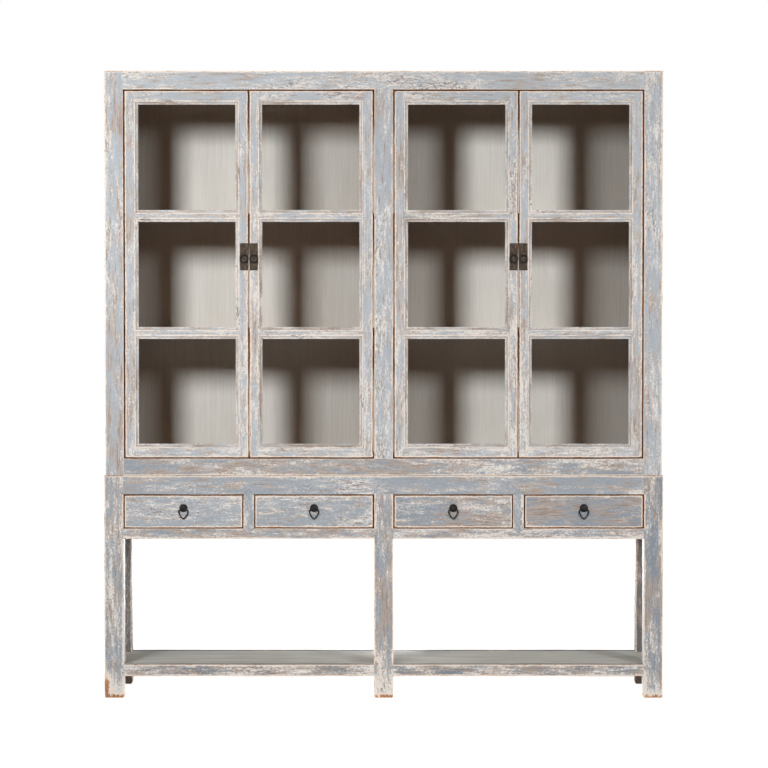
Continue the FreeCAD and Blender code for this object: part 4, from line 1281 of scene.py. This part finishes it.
def spread_floor(scene):
    """A flat square grid just under the object."""
    side = np.linspace(-FLOOR_REACH, FLOOR_REACH, FLOOR_POINTS)
    x, y = np.meshgrid(side, side)
    places = np.stack([x, y, np.full_like(x, -FLOOR_DROP)], -1).reshape(-1, 3)
    index = np.arange(x.size).reshape(x.shape)
    quads = np.stack([index[:-1, :-1], index[:-1, 1:], index[1:, 1:], index[1:, :-1]], -1).reshape(-1, 4)
    mesh = bpy.data.meshes.new("floor")
    mesh.from_pydata(places.tolist(), [], quads.tolist())
    mesh.materials.append(pale_floor(scene.cabinet_colours.floor))
    floor = bpy.data.objects.new("floor", mesh)
    scene.collection.objects.link(floor)


def hang_lamp(scene, name, place, target, power, size):
    """A soft square lamp that points from its place to its target, and that the camera doesn't see."""
    lamp = bpy.data.lights.new(name, "AREA")
    lamp.shape = "SQUARE"
    lamp.size = size
    lamp.spread = math.radians(LAMP_SPREAD)
    lamp.energy = power
    holder = bpy.data.objects.new(name, lamp)
    holder.location = place
    holder.visible_camera = False
    x, y, z = np.array(target) - np.array(place)
    holder.rotation_euler = (math.atan2(math.hypot(x, y), -z), 0, math.atan2(-x, y))
    scene.collection.objects.link(holder)


def white_surroundings(scene):
    """A world that is seen as white and throws only a little light."""
    world = bpy.data.worlds.new("surroundings")
    scene.world = world
    world.use_nodes = True
    tree = world.node_tree
    soft = tree.nodes["Background"]
    soft.inputs["Color"].default_value = WHITE
    soft.inputs["Strength"].default_value = SOFT_LIGHT
    white = lay(tree, "Background", {"Color": WHITE, "Strength": 1.0})
    pick = lay(tree, "MixShader", {0: seen_directly(tree), 1: soft.outputs[0], 2: white})
    tree.links.new(pick, tree.nodes["World Output"].inputs["Surface"])


def place_camera(scene):
    """The camera at the photograph's viewing angle: far in front, and tilted a little down."""
    camera = bpy.data.cameras.new("camera")
    camera.sensor_width = CAMERA_SENSOR
    camera.lens = CAMERA_LENS
    holder = bpy.data.objects.new("camera", camera)
    holder.location = CAMERA_PLACE
    holder.rotation_euler = (math.radians(90 - CAMERA_DOWN), 0, 0)
    scene.collection.objects.link(holder)
    scene.camera = holder


class CABINET_OT_stage(Operator):
    """Pale floor, soft lamps on every side, white surroundings and the camera"""

    bl_idname = "cabinet.stage"
    bl_label = "Stage"

    def execute(self, context):
        scene = context.scene
        scene.view_settings.view_transform = "Standard"
        spread_floor(scene)
        for lamp in LAMPS:
            hang_lamp(scene, *lamp)
        white_surroundings(scene)
        place_camera(scene)
        return {"FINISHED"}


class CABINET_PT_sidebar(Panel):
    """Lists the steps that build the cabinet"""

    bl_label = "Rubbed display cabinet"
    bl_idname = "CABINET_PT_sidebar"
    bl_space_type = "VIEW_3D"
    bl_region_type = "UI"
    bl_category = "Cabinet"

    def draw(self, context):
        for step in STEPS:
            self.layout.operator(step.bl_idname)
        for group in (context.scene.cabinet_sizes, context.scene.cabinet_colours):
            for name in group.__annotations__:
                self.layout.prop(group, name)


STEPS = (
    CABINET_OT_stand_frame,
    CABINET_OT_stand_boards,
    CABINET_OT_cabinet_frame,
    CABINET_OT_cabinet_boards,
    CABINET_OT_doors,
    CABINET_OT_door_pulls,
    CABINET_OT_drawers,
    CABINET_OT_drawer_pulls,
    CABINET_OT_hidden_wood,
    CABINET_OT_stage,
)
CLASSES = (CabinetSizes, CabinetColours, *STEPS, CABINET_PT_sidebar)


def register():
    for cls in CLASSES:
        bpy.utils.register_class(cls)
    bpy.types.Scene.cabinet_sizes = PointerProperty(type=CabinetSizes)
    bpy.types.Scene.cabinet_colours = PointerProperty(type=CabinetColours)


def unregister():
    del bpy.types.Scene.cabinet_colours
    del bpy.types.Scene.cabinet_sizes
    for cls in reversed(CLASSES):
        bpy.utils.unregister_class(cls)


def main():
    register()
    for step in STEPS:
        group, name = step.bl_idname.split(".")
        getattr(getattr(bpy.ops, group), name)()


if __name__ == "__main__":
    main()
